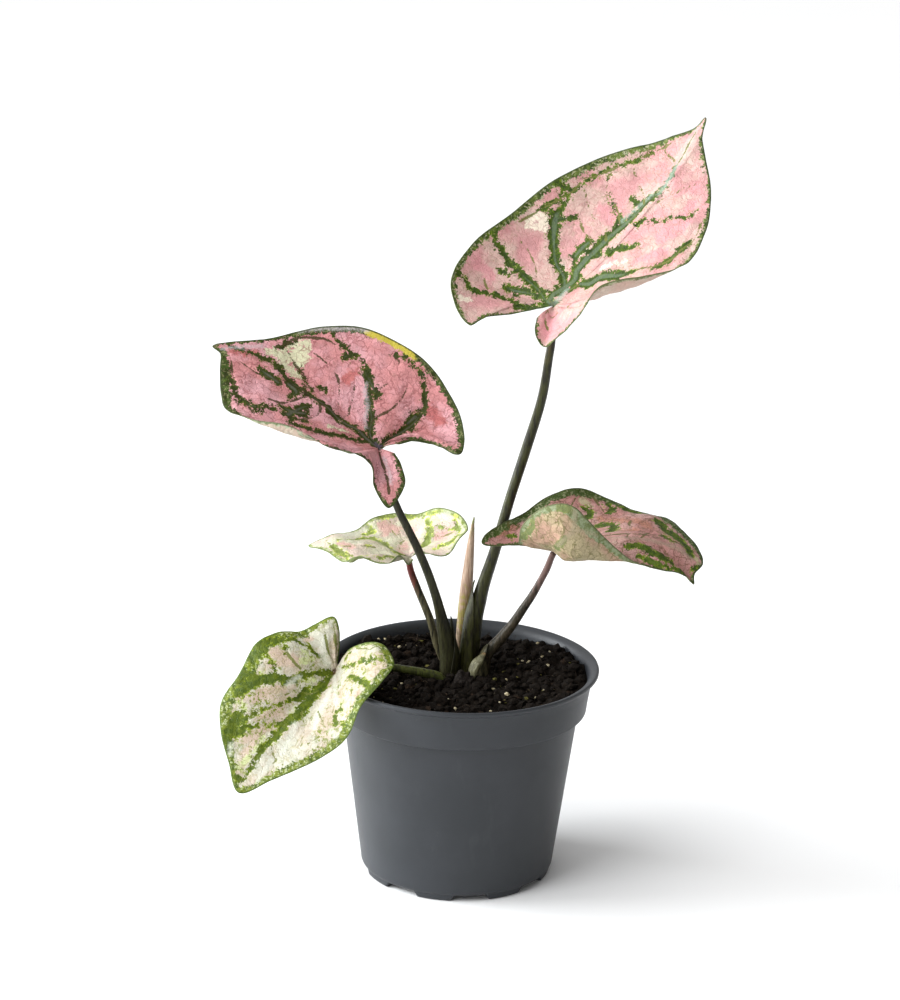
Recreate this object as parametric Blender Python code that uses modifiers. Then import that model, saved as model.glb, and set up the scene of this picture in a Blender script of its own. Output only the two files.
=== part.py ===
# A young caladium in a round nursery pot: pot, soil, tuber with roots, five leaves on
# their stalks, one new leaf still rolled up, and a small scale leaf at the crown.
# Lengths are in millimetres and become metres where the meshes are made. +Z is up, the
# origin is the centre of the pot's base, and the plant's best side faces -Y.
import math
import random

import bmesh
import bpy
import numpy as np
from mathutils import Vector

MM = 0.001

# Pot
POT_RIM_R = 60.0
POT_HEIGHT = 94.0
WALL = 1.2
COLLAR_DROP = 18.5
COLLAR_STEP = 3.5
BODY_TOP_R = 51.5
BODY_FOOT_R = 42.3
FLOOR_UNDERSIDE = 3.0
FLOOR_THICKNESS = 1.4
FOOT_RING_R = 41.0
FOOT_RING_WIDTH = 5.5
FOOT_COUNT = 8
FOOT_NOTCH_DEG = 21.0
FOOT_START_DEG = -103.5
CENTRE_PAD_R = 7.0
DRAIN_HOLE_R = 3.5
DRAIN_HOLE_SIDES = 12
DRAIN_CIRCLE_R = 20.0
POT_STEPS = 48

# Soil and what it holds
GAP = 0.3
SOCKET_EXTRA = 0.15
STALK_HOLE_EXTRA = 0.05
SOIL_TOP = 85.0
SOIL_RELIEF = 1.0
SOIL_RINGS = 8
SOIL_STEPS = 36
# How far the mix is heaped up against the wall, for angles about Z from +X.
WALL_HEAPS = [(-90, 2.0), (0, 3.5), (30, 6.0), (60, 4.0), (90, 0.0), (120, 4.0), (150, 6.5),
              (200, 4.0)]
TUBER_CENTRE = (0.5, 13.5, 64.0)
TUBER_RADIUS = 20.0
TUBER_HALF_HEIGHT = 13.0
TUBER_FLAT_TOP = 74.6
CROWN_CENTRE = (1.0, 1.0, 81.0)
CROWN_RADII = (5.0, 4.6, 9.0)
ROOT_COUNT = 6
ROOT_THICK = 1.3
ROOT_THIN = 0.6
ROOT_REACH = 17.0
ROOT_DROP = 30.0

# Blades
BLADE_THICKNESS = 0.8
BLADE_RINGS = 5
SPOKES_PER_POINT = 2

# Each blade is a fan of spokes from the joint, where the stalk meets it, round to the far
# side of the sinus. A spoke is a point on the margin and how far the middle of the spoke
# is bent off the straight line.
BLADE_UPPER_LEFT = {
    "joint": (-37.5, 2, 191),
    "spokes": [
        ((-29, 4, 192), (0, 0, 0.5)), ((-22, 8, 192.5), (0, 1, 1)),
        ((-13, 8, 190.5), (0, 3, 2)), ((-3.5, 2, 188.5), (0, 6, 6)),
        ((-1, 9, 192.5), (0.5, 8, 3)), ((-3, 16, 201.5), (0, 6, 0.5)),
        ((-9, 21, 212), (0, 5, -1.5)), ((-17.5, 24, 222.5), (0, 4, -1.5)),
        ((-28.5, 26, 230), (0, 3, -1)), ((-45.5, 27, 237), (0, 3, -1)),
        ((-62, 26, 237.5), (0, 3, -1)), ((-73.5, 24, 235.5), (0, 2, -0.5)),
        ((-86.5, 20, 233), (0, 2, -0.5)), ((-108.5, 12, 232), (-1.5, 0, 4)),
        ((-106, 9, 228.5), (-1, -2, 2)), ((-105.5, 0, 223), (-1, -5, 1)),
        ((-104.5, -8, 216), (-0.5, -7, 1)), ((-101.5, -14, 210.5), (0, -9.5, 0.5)),
        ((-89.5, -20, 208.5), (0, -11, 0)), ((-75, -24, 207.5), (0.5, -11, 0)),
        ((-59.5, -25, 199.5), (0, -8, 0)), ((-47.5, -22, 195.5), (0, -5, 0.5)),
        ((-40, -18, 189), (0, -2, 0.5)), ((-38.5, -17, 179), (0, -3, 1)),
        ((-32.5, -17, 170), (1, -4, 1)), ((-26, -13, 178.5), (1, -2, 2)),
        ((-27.5, -8, 186), (0.5, -1, 1)), ((-30.5, -3, 190), (0, 0, 0)),
    ],
}
BLADE_UPPER_RIGHT = {
    "joint": (35.5, 8, 254),
    "spokes": [
        ((29, 9, 252), (0, 0, 0)), ((17.5, 9, 249.5), (0, 1, 1)),
        ((6, 4, 249), (0, 4, 1.5)), ((0, -1, 247), (0, 6, 3)),
        ((-6.5, 6, 253.5), (0, 7, 1)), ((-8, 15, 264.5), (0, 7, -1.5)),
        ((1.5, 24, 277.5), (0, 5, -1.5)), ((16.5, 33, 287.5), (0, 4, -1)),
        ((34.5, 42, 300.5), (0, 3, -1)), ((58, 48, 311), (0, 2, -1)),
        ((81, 48, 318), (0, 0, -1)), ((93, 46, 323.5), (1, -1.5, -2)),
        ((98.5, 44, 329), (1.5, -2.5, -3)), ((97, 38, 323), (1.5, -3, -3)),
        ((97.5, 34, 318), (1, -3, -3)), ((100.5, 19, 303), (1, -5, -1)),
        ((98.5, 5, 290), (1, -7, -0.5)), ((90.5, -9, 278.5), (0.5, -8, 0)),
        ((76, -17, 275), (1, -8, 0)), ((61, -22, 273.5), (1.5, -8, -0.5)),
        ((52.5, -24, 270), (2, -7, -2)), ((47, -25, 261.5), (0.5, -4, 0)),
        ((40, -22, 251), (0, -2, 0.5)), ((32, -20, 243.5), (0, -3, 0.5)),
        ((27.5, -15, 247.5), (-0.5, -2, 0.5)), ((28, -5, 252), (0, -1, 0.5)),
    ],
}
BLADE_LOW_RIGHT = {
    "joint": (38.5, 0, 147),
    "spokes": [
        ((32.5, 3, 147.5), (0, 0, 0)), ((23, 4, 148), (0, 1, 0)),
        ((9, 0, 149), (0, 5, 0.5)), ((8.5, 3, 152), (0, 6, 1)),
        ((15, 8.5, 155.5), (0, 6, 1)), ((24.5, 19, 157), (-0.5, 5, 1.5)),
        ((37.5, 28, 163.5), (-1, 4, 2)), ((51, 33, 165), (0, 4, 2)),
        ((64.5, 32, 160), (0, 4, 3)), ((77.5, 28, 156.5), (1, 3, 4)),
        ((89.5, 22, 155), (2, 2, 5.5)), ((100.5, 10, 147.5), (1.5, 1, 8)),
        ((103, 1.5, 142.5), (1, 0, 11)), ((99.5, -2.5, 139), (1, -1, 12.5)),
        ((99, -5, 135), (1.5, -2, 14)), ((96, -7, 139), (1.5, -3, 12)),
        ((90.5, -10, 142), (1.5, -3.5, 8)), ((84.5, -12, 143.5), (1, -4, 5)),
        ((71.5, -17, 149.5), (1.5, -6, 0)),
        ((60.5, -22, 160), (1, -8, -4)), ((53.5, -25, 168), (2.5, -10, -6)),
        ((46, -26, 175.5), (3.5, -11, -8)), ((39, -25, 176.5), (3, -11, -6.5)),
        ((31, -22, 172.5), (2.5, -9, -3.5)), ((24.5, -16, 163.5), (1.5, -6, -1.5)),
        ((23, -9, 153), (0, -2, 0.5)),
    ],
}
BLADE_BACK_LEFT = {
    "joint": (-24, 26, 133.5),
    "spokes": [
        ((-21.5, 25, 136), (0, 0, 0)), ((-17, 22, 137.5), (0, 0, 1)),
        ((-11.5, 20, 136.5), (0, 2, 1.5)), ((-6.5, 21, 137.5), (0, 4, 2)),
        ((-2.5, 26, 142.5), (0, 5, 1)), ((1.5, 32, 145.5), (0, 5, 0.5)),
        ((-2.5, 39, 150), (0, 5, 0)), ((-12, 46, 150.5), (0, 4, -0.5)),
        ((-21.5, 50, 146), (0, 4, -1)), ((-31, 52, 145.5), (0, 4, -1)),
        ((-41, 50, 143.5), (0, 3, -0.5)), ((-48.5, 45, 139.5), (0, 2, 0.5)),
        ((-59.5, 37, 139), (0, 1, 2)), ((-68.5, 28, 137.5), (0, 0, 4.5)),
        ((-60, 20, 137.5), (0, -2, 2)), ((-52.5, 12, 135.5), (0, -3, 2.5)),
        ((-47, 10, 139), (0, -3, 2)), ((-38.5, 8, 137), (0, -3, 1.5)),
        ((-33, 8, 137), (0, -3, 1)), ((-28, 12, 139), (0, -2, 0.5)),
        ((-24.5, 16, 133.5), (0, -2, 0.5)), ((-22, 20, 134.5), (0, -1, 0.5)),
    ],
}
BLADE_FRONT_LEFT = {
    "joint": (-54, -20, 97),
    "spokes": [
        ((-53, -19, 100.5), (0, 0, 0)), ((-52.5, -17, 107.5), (-0.5, -1, 0.5)),
        ((-53.5, -15, 116.5), (-0.5, -2, 0.5)), ((-56, -14, 119.5), (-1, -2, 0.5)),
        ((-62.5, -15, 116.5), (0, -3, 1)), ((-69.5, -17, 113.5), (0, -3, 1)),
        ((-79, -20, 114), (0, -4, 1.5)), ((-88.5, -25, 109.5), (0, -5, 2)),
        ((-94.5, -31, 98.5), (0, -5, 2)), ((-101.5, -38, 89), (0, -5, 2)),
        ((-101.5, -46, 78.5), (0, -4, 1.5)), ((-97.5, -54, 67), (0, -3, 1)),
        ((-92.5, -62, 56.5), (1, -2, 4)), ((-78.5, -60, 62), (0, -3, 1)),
        ((-60.5, -57, 70), (0, -4, 1.5)), ((-48, -54, 79), (0.5, -5, 2)),
        ((-42, -51, 92.5), (0.5, -6, 2.5)), ((-33.5, -46, 102), (0.5, -6, 2.5)),
        ((-28.5, -38, 107.5), (0, -6, 4)), ((-33, -30, 112.5), (0, -6, 4)),
        ((-41, -25, 112), (0, -4, 1.5)), ((-48, -21, 107), (0, -1, 0.5)),
        ((-51, -20, 102), (0, 0, 0)),
    ],
}

# Stalks: centre line points with the radius there, from the tuber up to just below the blade.
STALK_UPPER_LEFT = [
    (-6, 12.5, 75, 3.0), (-5.7, 12.3, 85, 4.0), (-5.5, 12, 93.5, 4.1), (-7, 11.5, 101, 3.5),
    (-9.5, 10, 113, 2.4), (-12, 9, 122.5, 2.0), (-16, 8.5, 134, 1.9), (-21, 7, 146, 1.8),
    (-25.5, 5.5, 155.5, 1.7), (-29, 4.5, 163, 1.6), (-33.5, 3.5, 175, 1.5),
    (-37, 2.5, 189.5, 1.3),
]
STALK_UPPER_RIGHT = [
    (2.5, 16, 75, 3.0), (2.6, 17, 85, 3.8), (3.5, 17, 91.5, 3.9), (5, 17, 108.5, 3.7),
    (7, 17, 118, 3.3), (9, 17, 126, 2.8), (13.5, 16, 142, 2.4), (19, 15, 164.5, 2.2),
    (25.5, 14, 188, 2.2), (31.5, 12, 211, 2.0), (34, 10, 230, 1.8), (35, 9.5, 238.5, 1.7),
    (35.5, 8.5, 252.5, 1.6),
]
STALK_LOW_RIGHT = [
    (9.5, 11, 75, 2.0), (10, 11.5, 85, 2.5), (11, 11, 94.5, 2.6), (17, 9.5, 103, 2.4),
    (22, 8, 110.5, 2.1), (26, 7, 117.5, 1.9), (30, 6, 124.5, 1.7), (33.5, 4.5, 132, 1.5),
    (36, 3, 138, 1.5), (37.5, 1.5, 143, 1.4), (38.4, 0.6, 145.6, 1.4),
]
STALK_BACK_LEFT = [
    (-7, 20.5, 75, 1.6), (-8, 21, 87, 1.7), (-11, 22, 95, 1.7), (-14, 23, 105.5, 1.7),
    (-20, 25, 119.5, 1.6), (-23, 26, 127, 1.5), (-24, 26, 131.5, 1.4),
]
STALK_FRONT_LEFT = [
    (-5, 4.5, 75, 1.6), (-6, 4.2, 81.5, 1.8), (-9.5, 3, 86.5, 2.1), (-15.5, 1, 89, 2.0),
    (-28.5, -4, 93, 1.7), (-43, -12, 97.5, 1.5), (-50, -17, 98, 1.4), (-53, -18.7, 96.9, 1.2),
]
NEW_LEAF = [
    (0, 23.5, 75, 1.5), (-1, 24, 85, 1.6), (-1, 23, 97, 1.7), (0, 23, 107, 2.4),
    (1.5, 22, 122, 2.8), (2.5, 21.5, 136.5, 2.0), (3, 21, 143.5, 1.5), (3.5, 21, 150.5, 0.8),
    (4, 21, 154.5, 0.3),
]
# Scale leaf: centre line points with the half width there.
SCALE_LEAF = [
    (4.6, 4.6, 86.6, 1.6), (5.4, 5.0, 89.5, 2.3), (6.8, 5.6, 92.5, 2.3),
    (8.6, 6.4, 95, 1.5), (10.2, 7.2, 97, 0.5),
]
SCALE_LEAF_CUP = 0.9

ALL_BLADES = {
    "blade_upper_left": BLADE_UPPER_LEFT,
    "blade_upper_right": BLADE_UPPER_RIGHT,
    "blade_low_right": BLADE_LOW_RIGHT,
    "blade_back_left": BLADE_BACK_LEFT,
    "blade_front_left": BLADE_FRONT_LEFT,
}
ALL_STALKS = {
    "stalk_upper_left": STALK_UPPER_LEFT,
    "stalk_upper_right": STALK_UPPER_RIGHT,
    "stalk_low_right": STALK_LOW_RIGHT,
    "stalk_back_left": STALK_BACK_LEFT,
    "stalk_front_left": STALK_FRONT_LEFT,
    "new_leaf": NEW_LEAF,
}
TUBE_POINTS_PER_SPAN = 2
COLOURS = {
    "pot": (0.065, 0.068, 0.073), "soil": (0.012, 0.009, 0.007), "tuber": (0.030, 0.018, 0.011),
    "stalk": (0.040, 0.038, 0.020), "new_leaf": (0.42, 0.25, 0.17), "scale_leaf": (0.16, 0.14, 0.07),
    "pink": (0.60, 0.22, 0.24), "pale_pink": (0.72, 0.42, 0.40), "pale_green": (0.45, 0.52, 0.25),
}


def clear_scene():
    for item in list(bpy.data.objects):
        bpy.data.objects.remove(item, do_unlink=True)


def new_collection(name):
    collection = bpy.data.collections.new(name)
    bpy.context.scene.collection.children.link(collection)
    return collection


def material(name, colour, roughness):
    made = bpy.data.materials.new(name)
    made.use_nodes = True
    shader = made.node_tree.nodes["Principled BSDF"]
    shader.inputs["Base Color"].default_value = (*colour, 1.0)
    shader.inputs["Roughness"].default_value = roughness
    shader.inputs["Metallic"].default_value = 0.0
    return made


def face_outwards(shape):
    """Consistent normals on a closed shape, pointing out of it."""
    bmesh.ops.recalc_face_normals(shape, faces=shape.faces)
    if shape.calc_volume(signed=True) < 0:
        bmesh.ops.reverse_faces(shape, faces=shape.faces)


def object_from_bmesh(name, shape, collection):
    face_outwards(shape)
    mesh = bpy.data.meshes.new(name)
    shape.to_mesh(mesh)
    shape.free()
    made = bpy.data.objects.new(name, mesh)
    collection.objects.link(made)
    return made


def applied_copy(source, name, collection):
    """The evaluated shape of an object as a new mesh object; the source is removed."""
    bpy.context.view_layer.update()
    evaluated = source.evaluated_get(bpy.context.evaluated_depsgraph_get())
    mesh = bpy.data.meshes.new_from_object(evaluated)
    mesh.name = name
    shape = bmesh.new()
    shape.from_mesh(mesh)
    bmesh.ops.remove_doubles(shape, verts=shape.verts, dist=0.00001)
    shape.to_mesh(mesh)
    shape.free()
    made = bpy.data.objects.new(name, mesh)
    made.matrix_world = source.matrix_world
    collection.objects.link(made)
    bpy.data.objects.remove(source, do_unlink=True)
    return made


def smooth_path(points, per_span):
    """Points read from a smooth curve that passes through the given ones."""
    rows = np.array(points, dtype=float)
    padded = np.vstack([2 * rows[0] - rows[1], rows, 2 * rows[-1] - rows[-2]])
    out = []
    for index in range(len(rows) - 1):
        before, start, end, after = padded[index:index + 4]
        for step in range(per_span):
            t = step / per_span
            out.append(0.5 * (2 * start + (end - before) * t
                              + (2 * before - 5 * start + 4 * end - after) * t ** 2
                              + (3 * start - before - 3 * end + after) * t ** 3))
    out.append(rows[-1])
    return np.array(out)


def turned(name, profile, steps, collection):
    """A profile of (radius, height) turned round Z."""
    shape = bmesh.new()
    corners = [shape.verts.new((radius * MM, 0, height * MM)) for radius, height in profile]
    for start, end in zip(corners, corners[1:]):
        shape.edges.new((start, end))
    mesh = bpy.data.meshes.new(name)
    shape.to_mesh(mesh)
    shape.free()
    made = bpy.data.objects.new(name, mesh)
    collection.objects.link(made)
    screw = made.modifiers.new("turn", "SCREW")
    screw.steps = steps
    screw.render_steps = steps
    screw.use_merge_vertices = True
    screw.merge_threshold = 0.00005
    screw.use_normal_calculate = True
    return made


def cut(target, cutter):
    boolean = target.modifiers.new("cut " + cutter.name, "BOOLEAN")
    boolean.operation = "DIFFERENCE"
    boolean.solver = "EXACT"
    boolean.object = cutter


def as_cutter(item):
    item.hide_render = True
    item.display_type = "WIRE"
    return item


def pot_profile():
    """From the floor's centre up the inside, over the lip, down the outside to the base."""
    collar_foot = POT_HEIGHT - COLLAR_DROP
    collar_r = BODY_TOP_R + COLLAR_STEP
    floor = FLOOR_UNDERSIDE + FLOOR_THICKNESS
    return [
        (0, floor), (BODY_FOOT_R - 4.2, floor),
        (BODY_FOOT_R - 1.4, floor + 2.0), (BODY_TOP_R - WALL, collar_foot - 0.3),
        (collar_r - 1.4, collar_foot + 1.5), (POT_RIM_R - 4.5, POT_HEIGHT - 2.8),
        (POT_RIM_R - 2.2, POT_HEIGHT - 0.4), (POT_RIM_R - 0.8, POT_HEIGHT),
        (POT_RIM_R, POT_HEIGHT - 0.6), (POT_RIM_R - 0.1, POT_HEIGHT - 1.6),
        (POT_RIM_R - 1.8, POT_HEIGHT - 2.8), (POT_RIM_R - 3.0, POT_HEIGHT - 3.4),
        (collar_r, collar_foot + 0.1), (collar_r - 0.6, collar_foot - 0.5),
        (BODY_TOP_R, collar_foot - 0.5), (BODY_FOOT_R, FLOOR_UNDERSIDE + 1.6),
        (BODY_FOOT_R - 0.4, FLOOR_UNDERSIDE), (FOOT_RING_R, FLOOR_UNDERSIDE - 0.5),
        (FOOT_RING_R - 0.2, 0.4), (FOOT_RING_R - 0.7, 0), (FOOT_RING_R - FOOT_RING_WIDTH, 0),
        (FOOT_RING_R - FOOT_RING_WIDTH - 0.4, FLOOR_UNDERSIDE),
        (CENTRE_PAD_R + 1.0, FLOOR_UNDERSIDE), (CENTRE_PAD_R, 0), (0, 0),
    ]


def notch_cutter(name, angle, collection):
    """A wedge with sloping sides that opens the foot ring between two feet."""
    inner, outer = FOOT_RING_R - FOOT_RING_WIDTH - 3.0, BODY_FOOT_R + 4.0
    half = math.radians(FOOT_NOTCH_DEG) / 2
    low, high = -1.0, FLOOR_UNDERSIDE - 0.3
    shape = bmesh.new()
    bmesh.ops.create_cube(shape, size=1.0)
    for corner in shape.verts:
        radius = outer if corner.co.x > 0 else inner
        top = corner.co.z > 0
        spread = half * (0.86 if top else 1.12)
        turn = angle + (spread if corner.co.y > 0 else -spread)
        height = high if top else low
        corner.co = Vector((radius * math.cos(turn), radius * math.sin(turn), height)) * MM
    return as_cutter(object_from_bmesh(name, shape, collection))


def drain_cutter(name, angle, collection):
    shape = bmesh.new()
    bmesh.ops.create_cone(shape, cap_ends=True, segments=DRAIN_HOLE_SIDES,
                          radius1=DRAIN_HOLE_R * MM, radius2=DRAIN_HOLE_R * MM,
                          depth=4 * FLOOR_THICKNESS * MM)
    place = Vector((math.cos(angle), math.sin(angle), 0)) * DRAIN_CIRCLE_R * MM
    place.z = (FLOOR_UNDERSIDE + FLOOR_THICKNESS / 2) * MM
    bmesh.ops.translate(shape, verts=shape.verts, vec=place)
    return as_cutter(object_from_bmesh(name, shape, collection))


def make_pot(parts, cutters):
    pot = turned("pot", pot_profile(), POT_STEPS, parts)
    for index in range(FOOT_COUNT):
        foot_angle = math.radians(FOOT_START_DEG) + index * 2 * math.pi / FOOT_COUNT
        between = foot_angle + math.pi / FOOT_COUNT
        cut(pot, notch_cutter("notch_%d" % index, between, cutters))
        cut(pot, drain_cutter("drain_%d" % index, foot_angle, cutters))
    return pot


def soil_relief(x, y, wall_r):
    """Heaps and hollows of the potting mix, in millimetres, higher towards the wall."""
    waves = math.sin(0.21 * x + 0.13 * y) + math.sin(0.33 * y - 0.17 * x + 1.3)
    fine = math.sin(0.61 * x + 0.4) * math.sin(0.57 * y + 1.1)
    angles, rises = zip(*WALL_HEAPS)
    angle = math.degrees(math.atan2(y, x))
    heap = np.interp(angle, angles, rises, period=360)
    out = math.hypot(x, y) / wall_r
    return SOIL_RELIEF * (0.4 * waves + 0.5 * fine) + heap * out ** 3


def make_soil(parts, holes):
    collar_foot = POT_HEIGHT - COLLAR_DROP
    collar_in = BODY_TOP_R + COLLAR_STEP - 1.4 - GAP
    top_r = collar_in + 1.0
    floor = FLOOR_UNDERSIDE + FLOOR_THICKNESS + GAP
    profile = [(top_r * index / SOIL_RINGS, SOIL_TOP) for index in range(SOIL_RINGS + 1)]
    profile += [
        (collar_in, collar_foot + 1.5 + GAP), (BODY_TOP_R - WALL - GAP, collar_foot + GAP),
        (BODY_FOOT_R - 1.4 - GAP, floor + 2.0), (BODY_FOOT_R - 4.2 - GAP, floor), (0, floor),
    ]
    plain = turned("soil_plain", profile, SOIL_STEPS, parts)
    soil = applied_copy(plain, "soil", parts)
    for vertex in soil.data.vertices:
        x, y, z = vertex.co / MM
        if z > SOIL_TOP - 0.1:
            vertex.co.z += soil_relief(x, y, top_r) * MM
    triangulate = soil.modifiers.new("triangles", "TRIANGULATE")
    triangulate.quad_method = "BEAUTY"
    for hole in holes:
        cut(soil, hole)
    return soil


def lump(name, centre, radii, flat_top, seed, grow, collection):
    """A knobbly ellipsoid, grown evenly by a clearance, with an optional flat top."""
    rng = random.Random(seed)
    knobs = [(rng.uniform(0, 6.28), rng.uniform(2, 5), rng.uniform(1.5, 3.5)) for _ in range(4)]
    shape = bmesh.new()
    bmesh.ops.create_uvsphere(shape, u_segments=18, v_segments=10, radius=1.0)
    for vertex in shape.verts:
        way = vertex.co.copy()
        turn = math.atan2(way.y, way.x)
        bump = sum(math.sin(count * turn + phase) * math.sin(tilt * way.z + phase)
                   for phase, count, tilt in ((p, round(c), t) for p, c, t in knobs))
        size = 1 + 0.035 * bump * (1 - abs(way.z))
        spot = [centre[axis] + way[axis] * (radii[axis] * size + grow) for axis in range(3)]
        if flat_top is not None:
            spot[2] = min(spot[2], flat_top + grow)
        vertex.co = Vector(spot) * MM
    return object_from_bmesh(name, shape, collection)


def tube(name, rows, grow, collection, sides=2):
    """A round tapering tube with filled ends; rows hold x, y, z and the radius.

    A grown tube, used to cut the hole for the plain one, is longer at both ends too.
    """
    rows = np.array(rows, dtype=float)
    if grow:
        for end, next_in in ((0, 1), (-1, -2)):
            away = rows[end, :3] - rows[next_in, :3]
            rows[end, :3] += away / np.linalg.norm(away) * 2 * grow
    curve = bpy.data.curves.new(name, "CURVE")
    curve.dimensions = "3D"
    curve.bevel_depth = MM
    curve.bevel_resolution = sides
    curve.use_fill_caps = True
    spline = curve.splines.new("POLY")
    spline.points.add(len(rows) - 1)
    for point, (x, y, z, radius) in zip(spline.points, rows):
        point.co = (x * MM, y * MM, z * MM, 1.0)
        point.radius = radius + grow
    source = bpy.data.objects.new(name + "_curve", curve)
    collection.objects.link(source)
    made = applied_copy(source, name, collection)
    shape = bmesh.new()
    shape.from_mesh(made.data)
    face_outwards(shape)
    shape.to_mesh(made.data)
    shape.free()
    return made


def root_rows(index):
    """A root leaves the tuber's side, runs outwards and turns down, getting thinner."""
    rng = random.Random(40 + index)
    turn = 2 * math.pi * (index + 0.35) / ROOT_COUNT + rng.uniform(-0.2, 0.2)
    rows = []
    for step in range(7):
        t = step / 6
        reach = TUBER_RADIUS - 5 + (ROOT_REACH + rng.uniform(-1, 1)) * t
        bend = turn + 0.25 * math.sin(3 * t + index)
        x = TUBER_CENTRE[0] + reach * math.cos(bend)
        y = TUBER_CENTRE[1] * (1 - 0.8 * t) + reach * math.sin(bend)
        z = TUBER_CENTRE[2] + 2 - ROOT_DROP * t ** 1.6
        rows.append((x, y, z, ROOT_THICK + (ROOT_THIN - ROOT_THICK) * t))
    return rows


def joined(name, pieces, collection):
    """One body made of several overlapping ones."""
    base = pieces[0]
    for piece in pieces[1:]:
        union = base.modifiers.new("join " + piece.name, "BOOLEAN")
        union.operation = "UNION"
        union.solver = "EXACT"
        union.object = piece
    made = applied_copy(base, name, collection)
    for piece in pieces[1:]:
        bpy.data.objects.remove(piece, do_unlink=True)
    return made


def make_tuber(name, grow, collection):
    radii = (TUBER_RADIUS, TUBER_RADIUS, TUBER_HALF_HEIGHT)
    pieces = [
        lump(name + "_body", TUBER_CENTRE, radii, TUBER_FLAT_TOP, 3, grow, collection),
        lump(name + "_crown", CROWN_CENTRE, CROWN_RADII, None, 8, grow, collection),
    ]
    for index in range(ROOT_COUNT):
        label = "%s_root_%d" % (name, index)
        pieces.append(tube(label, root_rows(index), grow, collection, sides=1))
    return joined(name, pieces, collection)


def blade_grid(blade):
    """Rows of points from the joint out to the margin, one row for each spoke."""
    joint = np.array(blade["joint"], dtype=float)
    both = np.array([margin + bend for margin, bend in blade["spokes"]], dtype=float)
    both = smooth_path(both, SPOKES_PER_POINT)
    grid = []
    for row in both:
        margin, bend = row[:3], row[3:]
        middle = (joint + margin) / 2 + bend
        for ring in range(1, BLADE_RINGS + 1):
            r = ring / BLADE_RINGS
            grid.append(joint * (1 - r) * (1 - 2 * r) + middle * 4 * r * (1 - r)
                        + margin * r * (2 * r - 1))
    return joint, np.array(grid).reshape(len(both), BLADE_RINGS, 3)


def make_blade(name, blade, collection):
    joint, grid = blade_grid(blade)
    shape = bmesh.new()
    centre = shape.verts.new(joint * MM)
    rows = [[shape.verts.new(point * MM) for point in row] for row in grid]
    for left, right in zip(rows, rows[1:]):
        shape.faces.new((centre, left[0], right[0]))
        for inner in range(BLADE_RINGS - 1):
            a, b = left[inner], left[inner + 1]
            c, d = right[inner + 1], right[inner]
            shape.faces.new((a, b, c))
            shape.faces.new((a, c, d))
    mesh = bpy.data.meshes.new(name)
    shape.to_mesh(mesh)
    shape.free()
    made = bpy.data.objects.new(name, mesh)
    collection.objects.link(made)
    solidify = made.modifiers.new("thickness", "SOLIDIFY")
    solidify.thickness = BLADE_THICKNESS * MM
    solidify.offset = 0.0
    solidify.use_even_offset = False
    return made


def make_scale_leaf(collection):
    rows = smooth_path(SCALE_LEAF, 2)
    across = Vector((0.85, -0.35, -0.40)).normalized()
    outwards = Vector((0.30, -0.90, 0.10)).normalized()
    shape = bmesh.new()
    lines = []
    for x, y, z, half in rows:
        line = []
        for side in (-1, -0.5, 0, 0.5, 1):
            lift = outwards * SCALE_LEAF_CUP * half * (1 - side ** 2) * 0.6
            line.append(shape.verts.new((Vector((x, y, z)) + across * side * half + lift) * MM))
        lines.append(line)
    for low, high in zip(lines, lines[1:]):
        for index in range(4):
            shape.faces.new((low[index], low[index + 1], high[index + 1]))
            shape.faces.new((low[index], high[index + 1], high[index]))
    mesh = bpy.data.meshes.new("scale_leaf")
    shape.to_mesh(mesh)
    shape.free()
    made = bpy.data.objects.new("scale_leaf", mesh)
    collection.objects.link(made)
    solidify = made.modifiers.new("thickness", "SOLIDIFY")
    solidify.thickness = 0.7 * MM
    solidify.offset = 0.0
    return made


def smooth_shading(item, degrees=35):
    item.data.shade_smooth()
    item.data.set_sharp_from_angle(angle=math.radians(degrees))


def main():
    clear_scene()
    parts = new_collection("caladium")
    cutters = new_collection("cutters")
    looks = {
        "pot": material("pot plastic", COLOURS["pot"], 0.5),
        "soil": material("potting mix", COLOURS["soil"], 0.95),
        "tuber": material("tuber skin", COLOURS["tuber"], 0.9),
        "stalk": material("stalk skin", COLOURS["stalk"], 0.5),
        "new_leaf": material("rolled leaf", COLOURS["new_leaf"], 0.5),
        "scale_leaf": material("scale leaf", COLOURS["scale_leaf"], 0.55),
        "blade_upper_left": material("pink blade", COLOURS["pink"], 0.45),
        "blade_upper_right": material("pale pink blade", COLOURS["pale_pink"], 0.45),
        "blade_low_right": material("folded blade", COLOURS["pink"], 0.45),
        "blade_back_left": material("pale green blade", COLOURS["pale_green"], 0.45),
        "blade_front_left": material("green blade", COLOURS["pale_green"], 0.45),
    }
    made = [make_pot(parts, cutters), make_tuber("tuber", 0.0, parts), make_scale_leaf(parts)]
    holes = [as_cutter(make_tuber("tuber_socket", GAP + SOCKET_EXTRA, cutters))]
    for name, points in ALL_STALKS.items():
        rows = smooth_path(points, TUBE_POINTS_PER_SPAN)
        made.append(tube(name, rows, 0.0, parts))
        buried = [row for row in rows if row[2] < SOIL_TOP + 9]
        holes.append(as_cutter(tube(name + "_hole", buried, GAP + STALK_HOLE_EXTRA, cutters)))
    made.append(make_soil(parts, holes))
    for name, blade in ALL_BLADES.items():
        made.append(make_blade(name, blade, parts))
    for item in made:
        family = "stalk" if item.name.startswith("stalk") else item.name
        item.data.materials.clear()
        item.data.materials.append(looks[family])
        smooth_shading(item)


main()
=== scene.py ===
# Looks for a young caladium in its nursery pot. Lengths in the dictionaries are in millimetres.
import math
import random

import bmesh
import bpy
import numpy as np
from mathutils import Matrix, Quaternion, Vector, noise


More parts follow.
